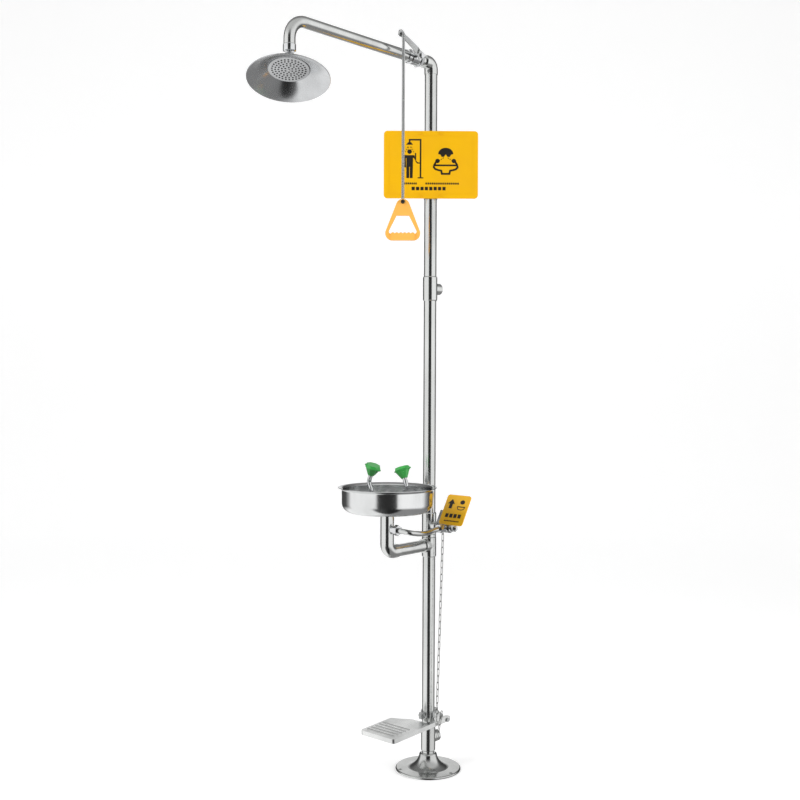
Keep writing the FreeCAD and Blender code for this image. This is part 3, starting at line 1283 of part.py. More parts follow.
def pedal_support():
    """Split clamp on the post; its right half reaches back and down to the pivot."""
    height = "clamp_high - clamp_low"
    for side, sign in (("left", -1), ("right", 1)):
        ring = cylinder("clamp_ring_" + side, "clamp_radius", height, ("0", "0", "clamp_low"))
        bore = cylinder("clamp_bore_" + side, "post_radius", height, ("0", "0", "clamp_low"))
        ear_x = "0.5" if sign > 0 else "-5.5"
        ears = [box("ear_%s_%d" % (side, end), ("5", "19", height), (ear_x, ear_y, "clamp_low"))
                for end, ear_y in enumerate(("0 - post_radius - 20", "post_radius + 1"))]
        away = box("clamp_away_" + side, ("60", "90", "30"),
                   ("0.5 - 60" if sign > 0 else "-0.5", "-45", "clamp_low - 5"))
        half = cut("clamp_half_" + side, ring, [bore, away])
        bolt_level = "(clamp_low + clamp_high) / 2"
        holes = [cylinder("clamp_eye_%s_%d" % (side, end), "3.2", "20", ("-10", bolt_y, bolt_level), "right")
                 for end, bolt_y in enumerate(("-32", "32"))]
        holes.append(cylinder("clamp_eye_bore_" + side, "post_radius", height, ("0", "0", "clamp_low")))
        eye = cut("clamp_eyes_" + side, fuse("clamp_ears_" + side, ears), holes)
        parts = [half, eye]
        if sign > 0:
            arm = cut_sheet("clamp_arm", "YZ_Plane", ("2", "clamp_high"), [
                ("2", "clamp_low"), ("pivot_y - 10", "pivot_z - 4"), ("pivot_y + 8", "pivot_z - 2", "9.1", 1),
                ("pivot_y + 6", "pivot_z + 12"), ("18", "clamp_high"),
            ], "3", [(("pivot_y", "pivot_z"), "4")], ("22.5", "0", "0"))
            parts.append(arm)
        keep(fuse("pedal_clamp_" + side, parts), "pedal_clamp_" + side)
    bolts, nuts = [], []
    for end in (0, 1):
        spot = "32 * %d" % (2 * end - 1)
        level = "(clamp_low + clamp_high) / 2"
        shank = cylinder("clamp_shank_%d" % end, "3.2", "17", ("-5.5", spot, level), "right")
        head = hexagon("clamp_head_%d" % end, "10", "4", ("-9.5", spot, level), "right")
        bolts.append(fuse("clamp_bolt_%d" % end, [shank, head]))
        nut = hexagon("clamp_nut_%d" % end, "10", "4", ("5.5", spot, level), "right")
        hole = cylinder("clamp_nut_hole_%d" % end, "3.2", "6", ("5", spot, level), "right")
        nuts.append(cut("clamp_nut_cut_%d" % end, nut, [hole]))
    keep(compound("clamp_bolts", bolts), "clamp_bolts")
    pin = cylinder("pin_shank", "4", "pedal_right + 3 - 21", ("21", "pivot_y", "pivot_z"), "right")
    head = cylinder("pin_head", "6.5", "2.5", ("pedal_right + 0.6", "pivot_y", "pivot_z"), "right")
    keep(fuse("pedal_pin", [pin, head]), "pedal_pin")
    return nuts


# ---------------------------------------------------------------- everything

base_flange()
post()
top_elbow()
arm_nipple()
shower_seats, shower_gland = shower_valve()
shower_stem()
shower_lever()
shower_arm()
pull_rod()
pull_handle()
swivel()
shower_head()
sign_nuts = sign()
bowl()
drain()
column_nut = feed_riser()
feed_pipe()
tubes, heads, roses = zip(*[spray_pair(number, side) for number, side in enumerate(("right", "left"))])
keep(compound("spray_tubes", list(tubes)), "spray_tubes")
keep(compound("spray_heads", list(heads)), "spray_heads")
keep(compound("spray_roses", list(roses)), "spray_roses")
eyewash_seat, eyewash_gland, outlet_nut = eyewash_valve()
keep(compound("valve_seats", shower_seats + [eyewash_seat]), "valve_seats")
keep(compound("packing_nuts", [shower_gland, eyewash_gland]), "packing_nuts")
keep(compound("union_nuts", [column_nut, outlet_nut]), "union_nuts")
push_yoke()
chain()
pedal()
clamp_nuts = pedal_support()
keep(compound("hex_nuts", sign_nuts + clamp_nuts), "hex_nuts")
doc.recompute()

troubled = []
for item in doc.Objects:
    if any(word in item.State for word in ("Invalid", "Error")):
        troubled.append(item.Name)
for item in KEPT:
    if item.Shape.isNull() or not item.Shape.isValid() or not item.Shape.Solids:
        troubled.append(item.Label)
if troubled:
    raise SystemExit("not built: " + ", ".join(troubled))

os.makedirs("parts", exist_ok=True)
for item in KEPT:
    item.Shape.exportStep("parts/%s.step" % item.Label)
    extent = item.Shape.BoundBox
    print("%-22s %2d solids %9.1f mm3  x %.1f..%.1f  y %.1f..%.1f  z %.1f..%.1f" % (
        item.Label, len(item.Shape.Solids), item.Shape.Volume,
        extent.XMin, extent.XMax, extent.YMin, extent.YMax, extent.ZMin, extent.ZMax))
print(len(KEPT), "sub-parts")
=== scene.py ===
import json
import math

import bmesh
import bpy
from mathutils import Matrix, Vector


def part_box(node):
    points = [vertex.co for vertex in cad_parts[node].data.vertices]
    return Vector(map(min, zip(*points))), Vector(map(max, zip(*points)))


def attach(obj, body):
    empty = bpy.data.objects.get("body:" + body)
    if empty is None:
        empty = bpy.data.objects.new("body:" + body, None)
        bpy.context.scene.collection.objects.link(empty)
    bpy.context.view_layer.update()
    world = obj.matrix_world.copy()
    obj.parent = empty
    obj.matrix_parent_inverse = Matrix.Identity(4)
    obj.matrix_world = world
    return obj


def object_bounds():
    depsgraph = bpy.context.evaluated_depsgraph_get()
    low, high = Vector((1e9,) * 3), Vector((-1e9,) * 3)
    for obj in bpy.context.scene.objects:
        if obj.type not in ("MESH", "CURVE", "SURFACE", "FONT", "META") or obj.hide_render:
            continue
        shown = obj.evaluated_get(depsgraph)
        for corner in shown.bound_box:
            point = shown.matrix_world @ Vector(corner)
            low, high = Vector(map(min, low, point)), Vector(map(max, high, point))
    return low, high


# Emergency shower and eyewash station: finishes, sign print, floor, light and camera.
# Metres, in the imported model's own frame: +Z up, arm and bowl toward -Y, valve side +X.

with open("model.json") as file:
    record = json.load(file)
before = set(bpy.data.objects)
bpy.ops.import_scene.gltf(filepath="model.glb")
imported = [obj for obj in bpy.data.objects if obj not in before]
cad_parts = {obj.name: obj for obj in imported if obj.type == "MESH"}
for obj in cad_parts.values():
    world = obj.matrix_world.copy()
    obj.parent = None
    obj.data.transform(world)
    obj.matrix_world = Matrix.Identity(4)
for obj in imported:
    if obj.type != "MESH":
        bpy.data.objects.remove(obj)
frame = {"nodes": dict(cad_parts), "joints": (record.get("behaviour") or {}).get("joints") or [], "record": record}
cad_low, cad_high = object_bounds()
MM = 0.001
JOINTS = {joint["name"]: joint for joint in frame["joints"]}


# ---------------------------------------------------------------- node helpers

def new_material(name):
    material = bpy.data.materials.new(name)
    material.use_nodes = True
    return material, material.node_tree, material.node_tree.nodes["Principled BSDF"]


def put(tree, kind, settings=(), **inputs):
    """Adds a node; settings are its properties, inputs are sockets by name (spaces as underscores)."""
    node = tree.nodes.new(kind)
    for key, value in dict(settings).items():
        setattr(node, key, value)
    for key, value in inputs.items():
        socket = node.inputs[key.replace("_", " ")]
        if isinstance(value, bpy.types.NodeSocket):
            tree.links.new(value, socket)
        else:
            socket.default_value = value
    return node


def spread(tree, value, low, high, out_low, out_high):
    """Maps a grey value from one range to another, clamped."""
    node = put(tree, "ShaderNodeMapRange", Value=value)
    for key, number in (("From Min", low), ("From Max", high), ("To Min", out_low), ("To Max", out_high)):
        node.inputs[key].default_value = number
    return node.outputs["Result"]


def mottle(tree, scale, stretch=(1, 1, 1), detail=4.0, turn=(0, 0, 0)):
    """Cloudy grey noise in object space, stretched along an axis where asked."""
    place = put(tree, "ShaderNodeTexCoord").outputs["Object"]
    mapped = put(tree, "ShaderNodeMapping", Vector=place, Scale=stretch, Rotation=turn)
    noise = put(tree, "ShaderNodeTexNoise", Vector=mapped.outputs["Vector"], Scale=scale, Detail=detail)
    return noise.outputs["Fac"]


def mix_colour(tree, amount, first, second):
    node = put(tree, "ShaderNodeMix", {"data_type": "RGBA"})
    tree.links.new(amount, node.inputs[0])
    for socket, value in ((node.inputs[6], first), (node.inputs[7], second)):
        if isinstance(value, bpy.types.NodeSocket):
            tree.links.new(value, socket)
        else:
            socket.default_value = (*value, 1)
    return node.outputs[2]


def combine(tree, operation, first, second):
    """One arithmetic step on two grey values."""
    node = put(tree, "ShaderNodeMath", {"operation": operation})
    tree.links.new(first, node.inputs[0])
    tree.links.new(second, node.inputs[1])
    return node.outputs[0]


def shift(tree, operation, vector, constant):
    """One vector step with a constant; a dot product gives a grey value."""
    node = put(tree, "ShaderNodeVectorMath", {"operation": operation})
    tree.links.new(vector, node.inputs[0])
    node.inputs[1].default_value = constant
    return node.outputs["Value" if operation == "DOT_PRODUCT" else "Vector"]


def bump(tree, height, strength, distance):
    return put(tree, "ShaderNodeBump", Height=height, Strength=strength, Distance=distance).outputs["Normal"]


def round_axis(tree, centre):
    """Distance from an upright axis through a point, for spun and turned surfaces."""
    moved = shift(tree, "SUBTRACT", put(tree, "ShaderNodeTexCoord").outputs["Object"], centre)
    level = shift(tree, "MULTIPLY", moved, (1, 1, 0))
    length = put(tree, "ShaderNodeVectorMath", {"operation": "LENGTH"})
    tree.links.new(level, length.inputs[0])
    return length.outputs["Value"]


# ---------------------------------------------------------------- metals

def steel(name, colour, rough, grain, stretch, grain_depth=0.00003, spin=None, dull=0.12):
    """Stainless steel: brushing lines, faint smears and a few rubbed patches.
    spin is a point on the axis that a spun piece was turned about."""
    material, tree, surface = new_material(name)
    smears = mottle(tree, 14, (1, 1, 0.35), 6)
    patches = mottle(tree, 45, (1, 1, 0.6), 3)
    if spin is None:
        lines = mottle(tree, grain, stretch, 2)
    else:
        radius = round_axis(tree, spin)
        place = put(tree, "ShaderNodeSeparateXYZ", Vector=put(tree, "ShaderNodeTexCoord").outputs["Object"])
        ring = put(tree, "ShaderNodeCombineXYZ", X=radius, Y=place.outputs["Z"])
        noise = put(tree, "ShaderNodeTexNoise", Vector=ring.outputs["Vector"], Scale=grain, Detail=2.0)
        lines = noise.outputs["Fac"]
    darker = tuple(value * 0.82 for value in colour)
    toned = mix_colour(tree, spread(tree, smears, 0.35, 0.7, 0, 1), colour, darker)
    tree.links.new(mix_colour(tree, spread(tree, lines, 0.3, 0.7, 0, 0.25), toned, darker),
                   surface.inputs["Base Color"])
    surface.inputs["Metallic"].default_value = 1
    base = spread(tree, smears, 0.3, 0.7, rough, rough + dull)
    extra = spread(tree, lines, 0.3, 0.7, 0, dull * 0.5)
    rubbed = spread(tree, patches, 0.62, 0.72, 0, dull * 0.6)
    total = combine(tree, "ADD", combine(tree, "ADD", base, extra), rubbed)
    tree.links.new(total, surface.inputs["Roughness"])
    tree.links.new(bump(tree, lines, 0.5, grain_depth), surface.inputs["Normal"])
    return material


def chrome():
    """Bright plating: nearly a mirror, with water spots that dull it in places."""
    material, tree, surface = new_material("bright_plating")
    spots = mottle(tree, 220, (1, 1, 1), 2)
    haze = mottle(tree, 30, (1, 1, 1), 5)
    bright, clouded = (0.80, 0.81, 0.82), (0.66, 0.67, 0.68)
    tree.links.new(mix_colour(tree, spread(tree, haze, 0.35, 0.7, 0, 1), bright, clouded),
                   surface.inputs["Base Color"])
    surface.inputs["Metallic"].default_value = 1
    rough = combine(tree, "ADD", spread(tree, haze, 0.3, 0.7, 0.07, 0.16),
                    spread(tree, spots, 0.66, 0.74, 0, 0.12))
    tree.links.new(rough, surface.inputs["Roughness"])
    tree.links.new(bump(tree, haze, 0.15, 0.0002), surface.inputs["Normal"])
    return material


# ---------------------------------------------------------------- paint and plastic

def coated(name, colour, shade, rough, peel, coat=0.0):
    """Paint or moulded plastic: slow colour drift, fine skin texture, scuffs that turn it dull."""
    material, tree, surface = new_material(name)
    drift = mottle(tree, 9, (1, 1, 1), 3)
    skin = mottle(tree, 900, (1, 1, 1), 2)
    scuffs = mottle(tree, 60, (1, 0.2, 1), 6, (0.4, 0.9, 0.2))
    toned = mix_colour(tree, spread(tree, drift, 0.3, 0.7, 0, 1), colour, shade)
    worn = tuple(min(1, value * 1.12) for value in colour)
    tree.links.new(mix_colour(tree, spread(tree, scuffs, 0.66, 0.8, 0, 0.5), toned, worn),
                   surface.inputs["Base Color"])
    total = combine(tree, "ADD", spread(tree, drift, 0.3, 0.7, rough, rough + 0.08),
                    spread(tree, scuffs, 0.6, 0.75, 0, 0.15))
    tree.links.new(total, surface.inputs["Roughness"])
    surface.inputs["Coat Weight"].default_value = coat
    surface.inputs["Coat Roughness"].default_value = 0.15
    tree.links.new(bump(tree, skin, peel, 0.0001), surface.inputs["Normal"])
    return material


# ---------------------------------------------------------------- finishes on the CAD nodes

EVEN = (1, 1, 1)
ALONG_Z = (1, 1, 0.02)
ALONG_Y = (1, 0.05, 1)
ALONG_X = (0.05, 1, 1)


def axis_point(node):
    low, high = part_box(node)
    return (low + high) / 2


def spun(name, colour, rough, grain, node, dull):
    """Steel turned about the upright axis of its own node."""
    return steel(name, colour, rough, grain, EVEN, spin=axis_point(node), dull=dull)


LOOKS = {
    "base_steel": spun("base_plate_steel", (0.68, 0.69, 0.68), 0.12, 900, "base_flange", 0.07),
    "polished_steel": steel("tube_steel", (0.78, 0.79, 0.78), 0.1, 700, ALONG_Z, 0.00001, dull=0.08),
    "chromed_brass": chrome(),
    "bowl_steel": spun("spun_bowl_steel", (0.86, 0.87, 0.87), 0.09, 700, "bowl", 0.07),
    "head_steel": spun("spun_head_steel", (0.74, 0.75, 0.76), 0.16, 600, "head_shell", 0.08),
    "bracket_steel": steel("bracket_steel", (0.56, 0.57, 0.57), 0.16, 500, ALONG_Y),
    "chain_steel": steel("chain_steel", (0.40, 0.40, 0.39), 0.25, 400, EVEN),
    "pedal_steel": steel("pressed_steel", (0.93, 0.94, 0.93), 0.18, 500, ALONG_X),
    "sign_yellow": coated("sign_paint", (0.86, 0.47, 0.002), (0.82, 0.43, 0.002), 0.32, 0.05, 0.3),
    "handle_plastic": coated("grip_plastic", (0.97, 0.50, 0.10), (0.93, 0.46, 0.085), 0.3, 0.1, 0.25),
    "green_plastic": coated("cup_plastic", (0.045, 0.40, 0.07), (0.035, 0.33, 0.055), 0.28, 0.08, 0.3),
    "rose_plastic": coated("rose_plastic", (0.88, 0.89, 0.89), (0.80, 0.81, 0.81), 0.5, 0.1),
    "seal_plastic": coated("seal_plastic", (0.80, 0.80, 0.76), (0.75, 0.75, 0.71), 0.4, 0.05),
}

for part in frame["record"]["subparts"]:
    mesh = frame["nodes"][part["node"]].data
    mesh.materials.clear()
    mesh.materials.append(LOOKS[part["material_slot"]])


# ---------------------------------------------------------------- flat print on a face

def add_object(name, mesh, material):
    """Puts a finished bmesh in the scene as an object of one material."""
    data = bpy.data.meshes.new(name)
    mesh.to_mesh(data)
    mesh.free()
    data.materials.append(material)
    piece = bpy.data.objects.new(name, data)
    bpy.context.scene.collection.objects.link(piece)
    return piece


def finish_piece(name, mesh, material, body):
    """Adds a visual piece that rides with a body."""
    bmesh.ops.recalc_face_normals(mesh, faces=mesh.faces)
    piece = add_object(name, mesh, material)
    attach(piece, body)


class Print:
    """Thin raised ink on a flat face.  Drawn in millimetres across and up from the face's middle."""

    def __init__(self, name, origin, across, up, raised):
        self.name = name
        self.mesh = bmesh.new()
        self.origin, self.across, self.up = origin, across, up
        self.out = across.cross(up)
        self.raised = raised

    def spot(self, x, y, lift):
        return self.origin + (self.across * x + self.up * y) * MM + self.out * lift

    def fill(self, points):
        """A closed flat shape with its sides down to the face."""
        top = [self.mesh.verts.new(self.spot(x, y, self.raised)) for x, y in points]
        low = [self.mesh.verts.new(self.spot(x, y, 0)) for x, y in points]
        self.mesh.faces.new(top)
        for a in range(len(points)):
            b = (a + 1) % len(points)
            self.mesh.faces.new((low[a], low[b], top[b], top[a]))

    def disc(self, x, y, radius, squeeze=1.0, count=24):
        self.fill([(x + radius * math.cos(math.tau * i / count),
                    y + radius * squeeze * math.sin(math.tau * i / count)) for i in range(count)])

    def stroke(self, points, width):
        """A line of constant width through the points, its corners mitred."""
        path = [Vector(point) for point in points]
        left, right = [], []
        for i, here in enumerate(path):
            before = (here - path[i - 1]).normalized() if i else None
            after = (path[i + 1] - here).normalized() if i + 1 < len(path) else None
            along = ((before or after) + (after or before)).normalized()
            side = Vector((-along.y, along.x))
            straight = before or after
            reach = width / 2 / max(0.35, side.dot(Vector((-straight.y, straight.x))))
            left.append(here + side * reach)
            right.append(here - side * reach)
        self.fill([tuple(point) for point in right + left[::-1]])

    def bar(self, x, y, width, height):
        self.fill([(x - width / 2, y - height / 2), (x + width / 2, y - height / 2),
                   (x + width / 2, y + height / 2), (x - width / 2, y + height / 2)])

    def finish(self, material, body):
        finish_piece(self.name, self.mesh, material, body)


INK = coated("black_print", (0.012, 0.010, 0.008), (0.02, 0.016, 0.012), 0.4, 0.05)
# Near-black finish for the discs on the spray plate's holes: painted shade of the holes.
HOLE_SHADE = coated("hole_shade_paint", (0.02, 0.02, 0.02), (0.03, 0.03, 0.03), 0.6, 0.1)

# The sign and the pull handle face the same level direction, which is the handle's swing axis.
facing = Vector(JOINTS["handle_swing"]["axis"]).normalized()
across = Vector((0, 0, 1)).cross(facing).normalized()
panel_low, panel_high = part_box("sign_panel")
panel_middle = (panel_low + panel_high) / 2
panel_height = panel_high.z - panel_low.z
panel_span = Vector((panel_high.x - panel_low.x, panel_high.y - panel_low.y, 0))
# A thin panel turned about Z fills a box of span (w cos a + t sin a, w sin a + t cos a).
panel_thick = (panel_span.x * abs(across.y) - panel_span.y * abs(across.x)) / (
    abs(facing.x * across.y) - abs(facing.y * across.x))
panel_width = (panel_span.x - panel_thick * abs(facing.x)) / abs(across.x)
panel_face = panel_middle + facing * (panel_thick / 2)


def draw_shower_user(art, x, y):
    """Left pictogram: a plain figure under a shower, beside its stand."""
    pole = x + 35
    art.stroke([(x, y + 74), (x, y + 82), (pole, y + 82), (pole, y - 38)], 5)
    art.stroke([(pole - 9, y - 39), (pole + 9, y - 39)], 3.5)
    art.fill([(x - 11, y + 66), (x + 11, y + 66), (x + 5, y + 74), (x - 5, y + 74)])
    for lean in (-2, -1, 1, 2):
        for step in range(3):
            reach = 60 - 7 * step
            tilt = lean * (3 + 1.6 * step)
            art.stroke([(x + tilt, y + reach), (x + tilt + lean * 0.7, y + reach - 4)], 1.8)
    art.stroke([(pole, y + 8), (pole - 9, y + 8), (pole - 15, y + 14)], 3.6)
    art.disc(x, y + 44, 7)
    art.fill([(x - 16, y + 33), (x + 16, y + 33), (x + 17, y + 26), (x + 11, y + 24), (x + 10, y - 40),
              (x + 1, y - 40), (x + 1, y - 4), (x - 1, y - 4), (x - 1, y - 40), (x - 10, y - 40),
              (x - 10, y + 24), (x - 12, y + 24), (x - 11, y - 6), (x - 17, y - 6)])
    art.stroke([(x + 13, y + 31), (x + 19, y + 18), (x + 19, y + 40)], 4.5)


def draw_eye_rinse(art, x, y):
    """Right pictogram: a plain head bent over a rinsing bowl."""
    dome = [(x + 24 * math.cos(math.radians(a)), y + 30 + 20 * math.sin(math.radians(a)))
            for a in range(0, 181, 12)]
    brow = [(x - 17, y + 28), (x - 13, y + 21), (x - 6, y + 21), (x, y + 29),
            (x + 6, y + 21), (x + 13, y + 21), (x + 17, y + 28)]
    art.fill(dome + brow)
    for side in (-1, 1):
        for reach in (0, 1, 2):
            art.stroke([(x + side * (9 + 6 * reach), y + 15 - 4 * reach),
                        (x + side * (7 + 6 * reach), y + 19 - 4 * reach)], 2.2)
        art.disc(x + side * 26, y + 8, 7)
        art.stroke([(x + side * 30, y + 6), (x + side * 37, y - 6)], 6)
    art.stroke([(x - 36, y - 6), (x + 36, y - 6)], 5.4)
    left = [(-37, -6), (-38, -12), (-33, -18), (-24, -21), (-14, -23), (-12, -33)]
    outline = left + [(-px, py) for px, py in left[::-1]]
    art.stroke([(x + px, y + py) for px, py in outline], 6)


def caption(art, x, y, width, height, count):
    """A row of plain blocks where a caption would stand."""
    pitch = width / count
    for number in range(count):
        art.bar(x - width / 2 + pitch * (number + 0.5), y, pitch * 0.72, height)


def sign_print():
    art = Print("sign_print", panel_face, across, Vector((0, 0, 1)), 0.25 * MM)
    draw_shower_user(art, -68, -3)
    draw_eye_rinse(art, 47, 4)
    caption(art, -65, -60, 42, 6, 7)
    caption(art, 36, -60, 108, 6, 16)
    caption(art, -7, -76, 112, 11, 8)
    art.finish(INK, "stand")
    rim = Print("sign_bead", panel_face, across, Vector((0, 0, 1)), 0.5 * MM)
    wide, tall = panel_width / MM / 2 - 17, panel_height / MM / 2 - 16
    for side in (-1, 1):
        rim.stroke([(-wide, side * tall), (wide, side * tall)], 1.6)
        rim.stroke([(side * wide, 1 - tall), (side * wide, tall - 1)], 1.6)
    rim.finish(LOOKS["sign_yellow"], "stand")


def flat_face(node, toward):
    """The middle and outward direction of a flat plate's large face on the given side."""
    mesh = frame["nodes"][node].data
    face = max(mesh.polygons, key=lambda polygon: polygon.area * max(0, polygon.normal.dot(toward)))
    out = Vector(face.normal).normalized()
    low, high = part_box(node)
    middle = (low + high) / 2
    outermost = max(out.dot(vertex.co) for vertex in mesh.vertices)
    return middle + out * (outermost - out.dot(middle)), out


def plate_print():
    """A rinse pictogram and an arrow on the push plate."""
    origin, out = flat_face("push_plate", Vector((0, -1, 0)))
    sideways = Vector((1, 0, 0))
    up = out.cross(sideways).normalized()
    art = Print("plate_print", origin, sideways, up, 0.25 * MM)
    art.fill([(-28, 4), (-16, 4), (-16, 20), (-8, 20), (-22, 36), (-36, 20), (-28, 20)])
    art.disc(20, 28, 9, 0.8)
    art.stroke([(4, 12), (36, 12)], 3)
    art.stroke([(5, 12), (9, 4), (16, 2), (24, 2), (31, 4), (35, 12)], 2.6)
    caption(art, 0, -20, 66, 13, 4)
    caption(art, 0, -38, 60, 4, 10)
    art.finish(INK, "push_lever")


def hole_shade_discs():
    """Near-black discs over the holes of the shower head's plate, in five rings: painted shade where the holes
    look dark.
    """
    origin, out = flat_face("spray_plate", Vector((0, 0, -1)))
    tipped = Vector((0, 0, -1)).rotation_difference(out)
    art = Print("hole_shade_discs", origin, tipped @ Vector((1, 0, 0)), tipped @ Vector((0, -1, 0)), 0.4 * MM)
    ring_gap, first_offset, hole_shade_radius = 9, 2, 2.7
    for ring in range(1, 6):
        reach = first_offset + ring_gap * ring
        holes = 6 * ring
        for number in range(holes):
            turn = math.radians(15 * ring) + math.tau * number / holes
            # Each disc is painted shade on one hole.
            art.disc(reach * math.cos(turn), -reach * math.sin(turn), hole_shade_radius, count=10)
    art.finish(HOLE_SHADE, "shower_head")


sign_print()
plate_print()
# Painted shade: dark discs on the holes of the spray plate.
hole_shade_discs()


# ---------------------------------------------------------------- surplus chain

LINK_LENGTH, LINK_WIDTH, LINK_WIRE = 26 * MM, 9.2 * MM, 1.05 * MM


def chain_link(mesh, middle, along, side):
    """One oval link of round wire lying in the plane of its two directions."""
    ring_steps, wire_steps = 24, 8
    bend = LINK_WIDTH / 2 - LINK_WIRE
    straight = LINK_LENGTH / 2 - LINK_WIDTH / 2
    across_link = along.cross(side)
    rows = []
    for i in range(ring_steps):
        angle = math.tau * (i + 0.5) / ring_steps
        outward = side * math.cos(angle) + along * math.sin(angle)
        centre = middle + outward * bend + along * math.copysign(straight, math.sin(angle))
        rows.append([mesh.verts.new(centre + outward * (LINK_WIRE * math.cos(math.tau * j / wire_steps))
                                    + across_link * (LINK_WIRE * math.sin(math.tau * j / wire_steps)))
                     for j in range(wire_steps)])
    for i, row in enumerate(rows):
        after = rows[(i + 1) % ring_steps]
        for j in range(wire_steps):
            k = (j + 1) % wire_steps
            mesh.faces.new((row[j], row[k], after[k], after[j])).smooth = True


def chain_tail():
    """Spare links hanging from the chain's lower ring, outside the edge of the pedal."""
    low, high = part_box("chain")
    link_count = 4
    pitch = LINK_LENGTH - 4 * LINK_WIRE - 0.2 * MM
    clear = LINK_WIDTH / 2 + 1.5 * MM
    outer_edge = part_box("pedal")[1].x
    hook_y = (low.y + high.y) / 2
    along = Vector((0, -0.26, -1)).normalized()
    level = Vector((1, 0, 0))
    start = Vector((outer_edge + clear, hook_y, low.z + 8 * MM)) + along * (LINK_LENGTH / 2 - 4 * MM)
    mesh = bmesh.new()
    for number in range(link_count):
        side = along.cross(level) if number % 2 == 0 else level
        chain_link(mesh, start + along * (pitch * number), along, side)
    finish_piece("chain_tail", mesh, LOOKS["chain_steel"], "chain")


chain_tail()


# ---------------------------------------------------------------- floor, light and camera

AZIMUTH = math.radians(41.45)
toward_camera = Vector((math.sin(AZIMUTH), -math.cos(AZIMUTH), 0))
to_right = Vector((math.cos(AZIMUTH), math.sin(AZIMUTH), 0))
HEIGHT = cad_high.z - cad_low.z
CAMERA_DISTANCE = 1.5465 * HEIGHT
CAMERA_HEIGHT = 0.5511 * HEIGHT
CAMERA_SIDE = -0.04115 * HEIGHT


def backdrop():
    """A pale floor that curves up into a wall behind the object."""
    curve, rise, reach, width = 2.5, 7.0, 5.0, 14.0
    profile = [(-9.0, 0.0), (reach, 0.0)]
    profile += [(reach + curve * math.sin(math.radians(a)), curve - curve * math.cos(math.radians(a)))
                for a in range(5, 91, 5)]
    profile.append((reach + curve, rise))
    sheet = bmesh.new()
    rows = []
    for back, up in profile:
        middle = -toward_camera * back + Vector((0, 0, up + cad_low.z))
        rows.append([sheet.verts.new(middle + to_right * side) for side in (-width, width)])
    for first, second in zip(rows, rows[1:]):
        sheet.faces.new((first[0], first[1], second[1], second[0])).smooth = True
    material, _, surface = new_material("pale_paper")
    surface.inputs["Base Color"].default_value = (0.93, 0.93, 0.93, 1)
    surface.inputs["Roughness"].default_value = 0.9
    surface.inputs["Emission Color"].default_value = (1, 1, 1, 1)
    surface.inputs["Emission Strength"].default_value = 0.26
    floor = add_object("floor_sheet", sheet, material)
    floor.visible_glossy = False


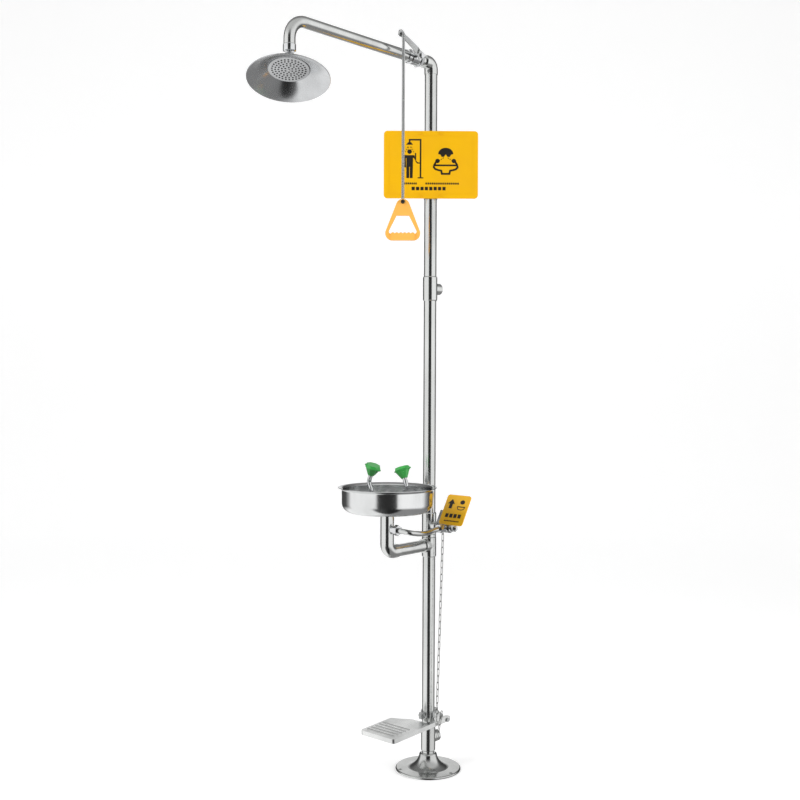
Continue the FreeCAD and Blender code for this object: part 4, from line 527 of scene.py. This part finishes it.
def studio():
    """Surround for reflections: white sides, dark toward the camera and behind, grey ceiling and ground."""
    world = bpy.data.worlds.new("studio")
    bpy.context.scene.world = world
    world.use_nodes = True
    tree = world.node_tree
    tree.nodes.clear()
    direction = put(tree, "ShaderNodeTexCoord").outputs["Generated"]
    split = put(tree, "ShaderNodeSeparateXYZ", Vector=direction)
    height = split.outputs["Z"]
    # Squashed heights keep the bands upright, so a tube shows the same stripes all the way along.
    rise = combine(tree, "ADD", spread(tree, height, 0, 1, 0, 0.22), spread(tree, height, -1, 0, -0.05, 0))
    squashed = put(tree, "ShaderNodeCombineXYZ", X=split.outputs["X"], Y=split.outputs["Y"], Z=rise)
    unit = put(tree, "ShaderNodeVectorMath", {"operation": "NORMALIZE"})
    tree.links.new(squashed.outputs[0], unit.inputs[0])
    # The share runs from 0 straight behind the object to 1 straight toward the camera.
    share = spread(tree, shift(tree, "DOT_PRODUCT", unit.outputs[0], toward_camera), -1, 1, 0, 1)
    walls = put(tree, "ShaderNodeValToRGB", Fac=share)
    stops = [(0.0, 0.8), (0.006, 0.8), (0.02, 0.06), (0.20, 0.08), (0.31, 0.45), (0.38, 1.0),
             (0.94, 1.0), (0.96, 0.05), (1.0, 0.03)]
    while len(walls.color_ramp.elements) < len(stops):
        walls.color_ramp.elements.new(0.5)
    for element, (place, grey) in zip(walls.color_ramp.elements, stops):
        element.position = place
        element.color = (grey, grey, grey, 1)
    overhead = mix_colour(tree, spread(tree, share, 0.2, 0.45, 0, 1), (0.25, 0.25, 0.25), (0.65, 0.65, 0.65))
    raised = mix_colour(tree, spread(tree, height, 0.4, 0.75, 0, 1), walls.outputs["Color"], overhead)
    sideways = shift(tree, "DOT_PRODUCT", direction, to_right)
    ground = combine(tree, "MULTIPLY", spread(tree, sideways, -0.2, 0.05, 1, 0.27),
                     spread(tree, share, 0.86, 0.93, 1, 0.08))
    around = mix_colour(tree, spread(tree, height, -0.5, -0.25, 1, 0), raised, ground)
    seen = put(tree, "ShaderNodeLightPath").outputs["Is Camera Ray"]
    colour = mix_colour(tree, seen, around, (1.0, 1.0, 1.0))
    shade = put(tree, "ShaderNodeBackground", Color=colour, Strength=1.0)
    out = put(tree, "ShaderNodeOutputWorld")
    tree.links.new(shade.outputs[0], out.inputs["Surface"])


def lamp(name, side, forward, up, size, power):
    """A square soft light given right of, in front of and above the object, aimed at its middle."""
    data = bpy.data.lights.new(name, "AREA")
    data.shape = "SQUARE"
    data.size = size
    data.energy = power
    light = bpy.data.objects.new(name, data)
    bpy.context.scene.collection.objects.link(light)
    aim = (cad_low + cad_high) / 2
    light.location = aim + to_right * side + toward_camera * forward + Vector((0, 0, up))
    light.rotation_mode = "QUATERNION"
    light.rotation_quaternion = (aim - light.location).to_track_quat("-Z", "Y")
    light.visible_glossy = False


def camera():
    data = bpy.data.cameras.new("camera")
    data.lens = 50.33
    data.sensor_width = 36
    data.shift_y = -0.0376
    eye = bpy.data.objects.new("camera", data)
    bpy.context.scene.collection.objects.link(eye)
    eye.location = toward_camera * CAMERA_DISTANCE + to_right * CAMERA_SIDE
    eye.location.z = cad_low.z + CAMERA_HEIGHT
    eye.rotation_mode = "QUATERNION"
    roll = Matrix.Rotation(math.radians(0.26), 3, "Z").to_quaternion()
    eye.rotation_quaternion = (-toward_camera).to_track_quat("-Z", "Y") @ roll
    bpy.context.scene.camera = eye


bpy.context.scene.view_settings.view_transform = "Standard"
backdrop()
studio()
lamp("key_light", -2.6, 2.0, 2.4, 2.2, 85)
lamp("fill_light", 3.2, 1.4, 0.8, 2.6, 55)
camera()

bpy.context.view_layer.update()
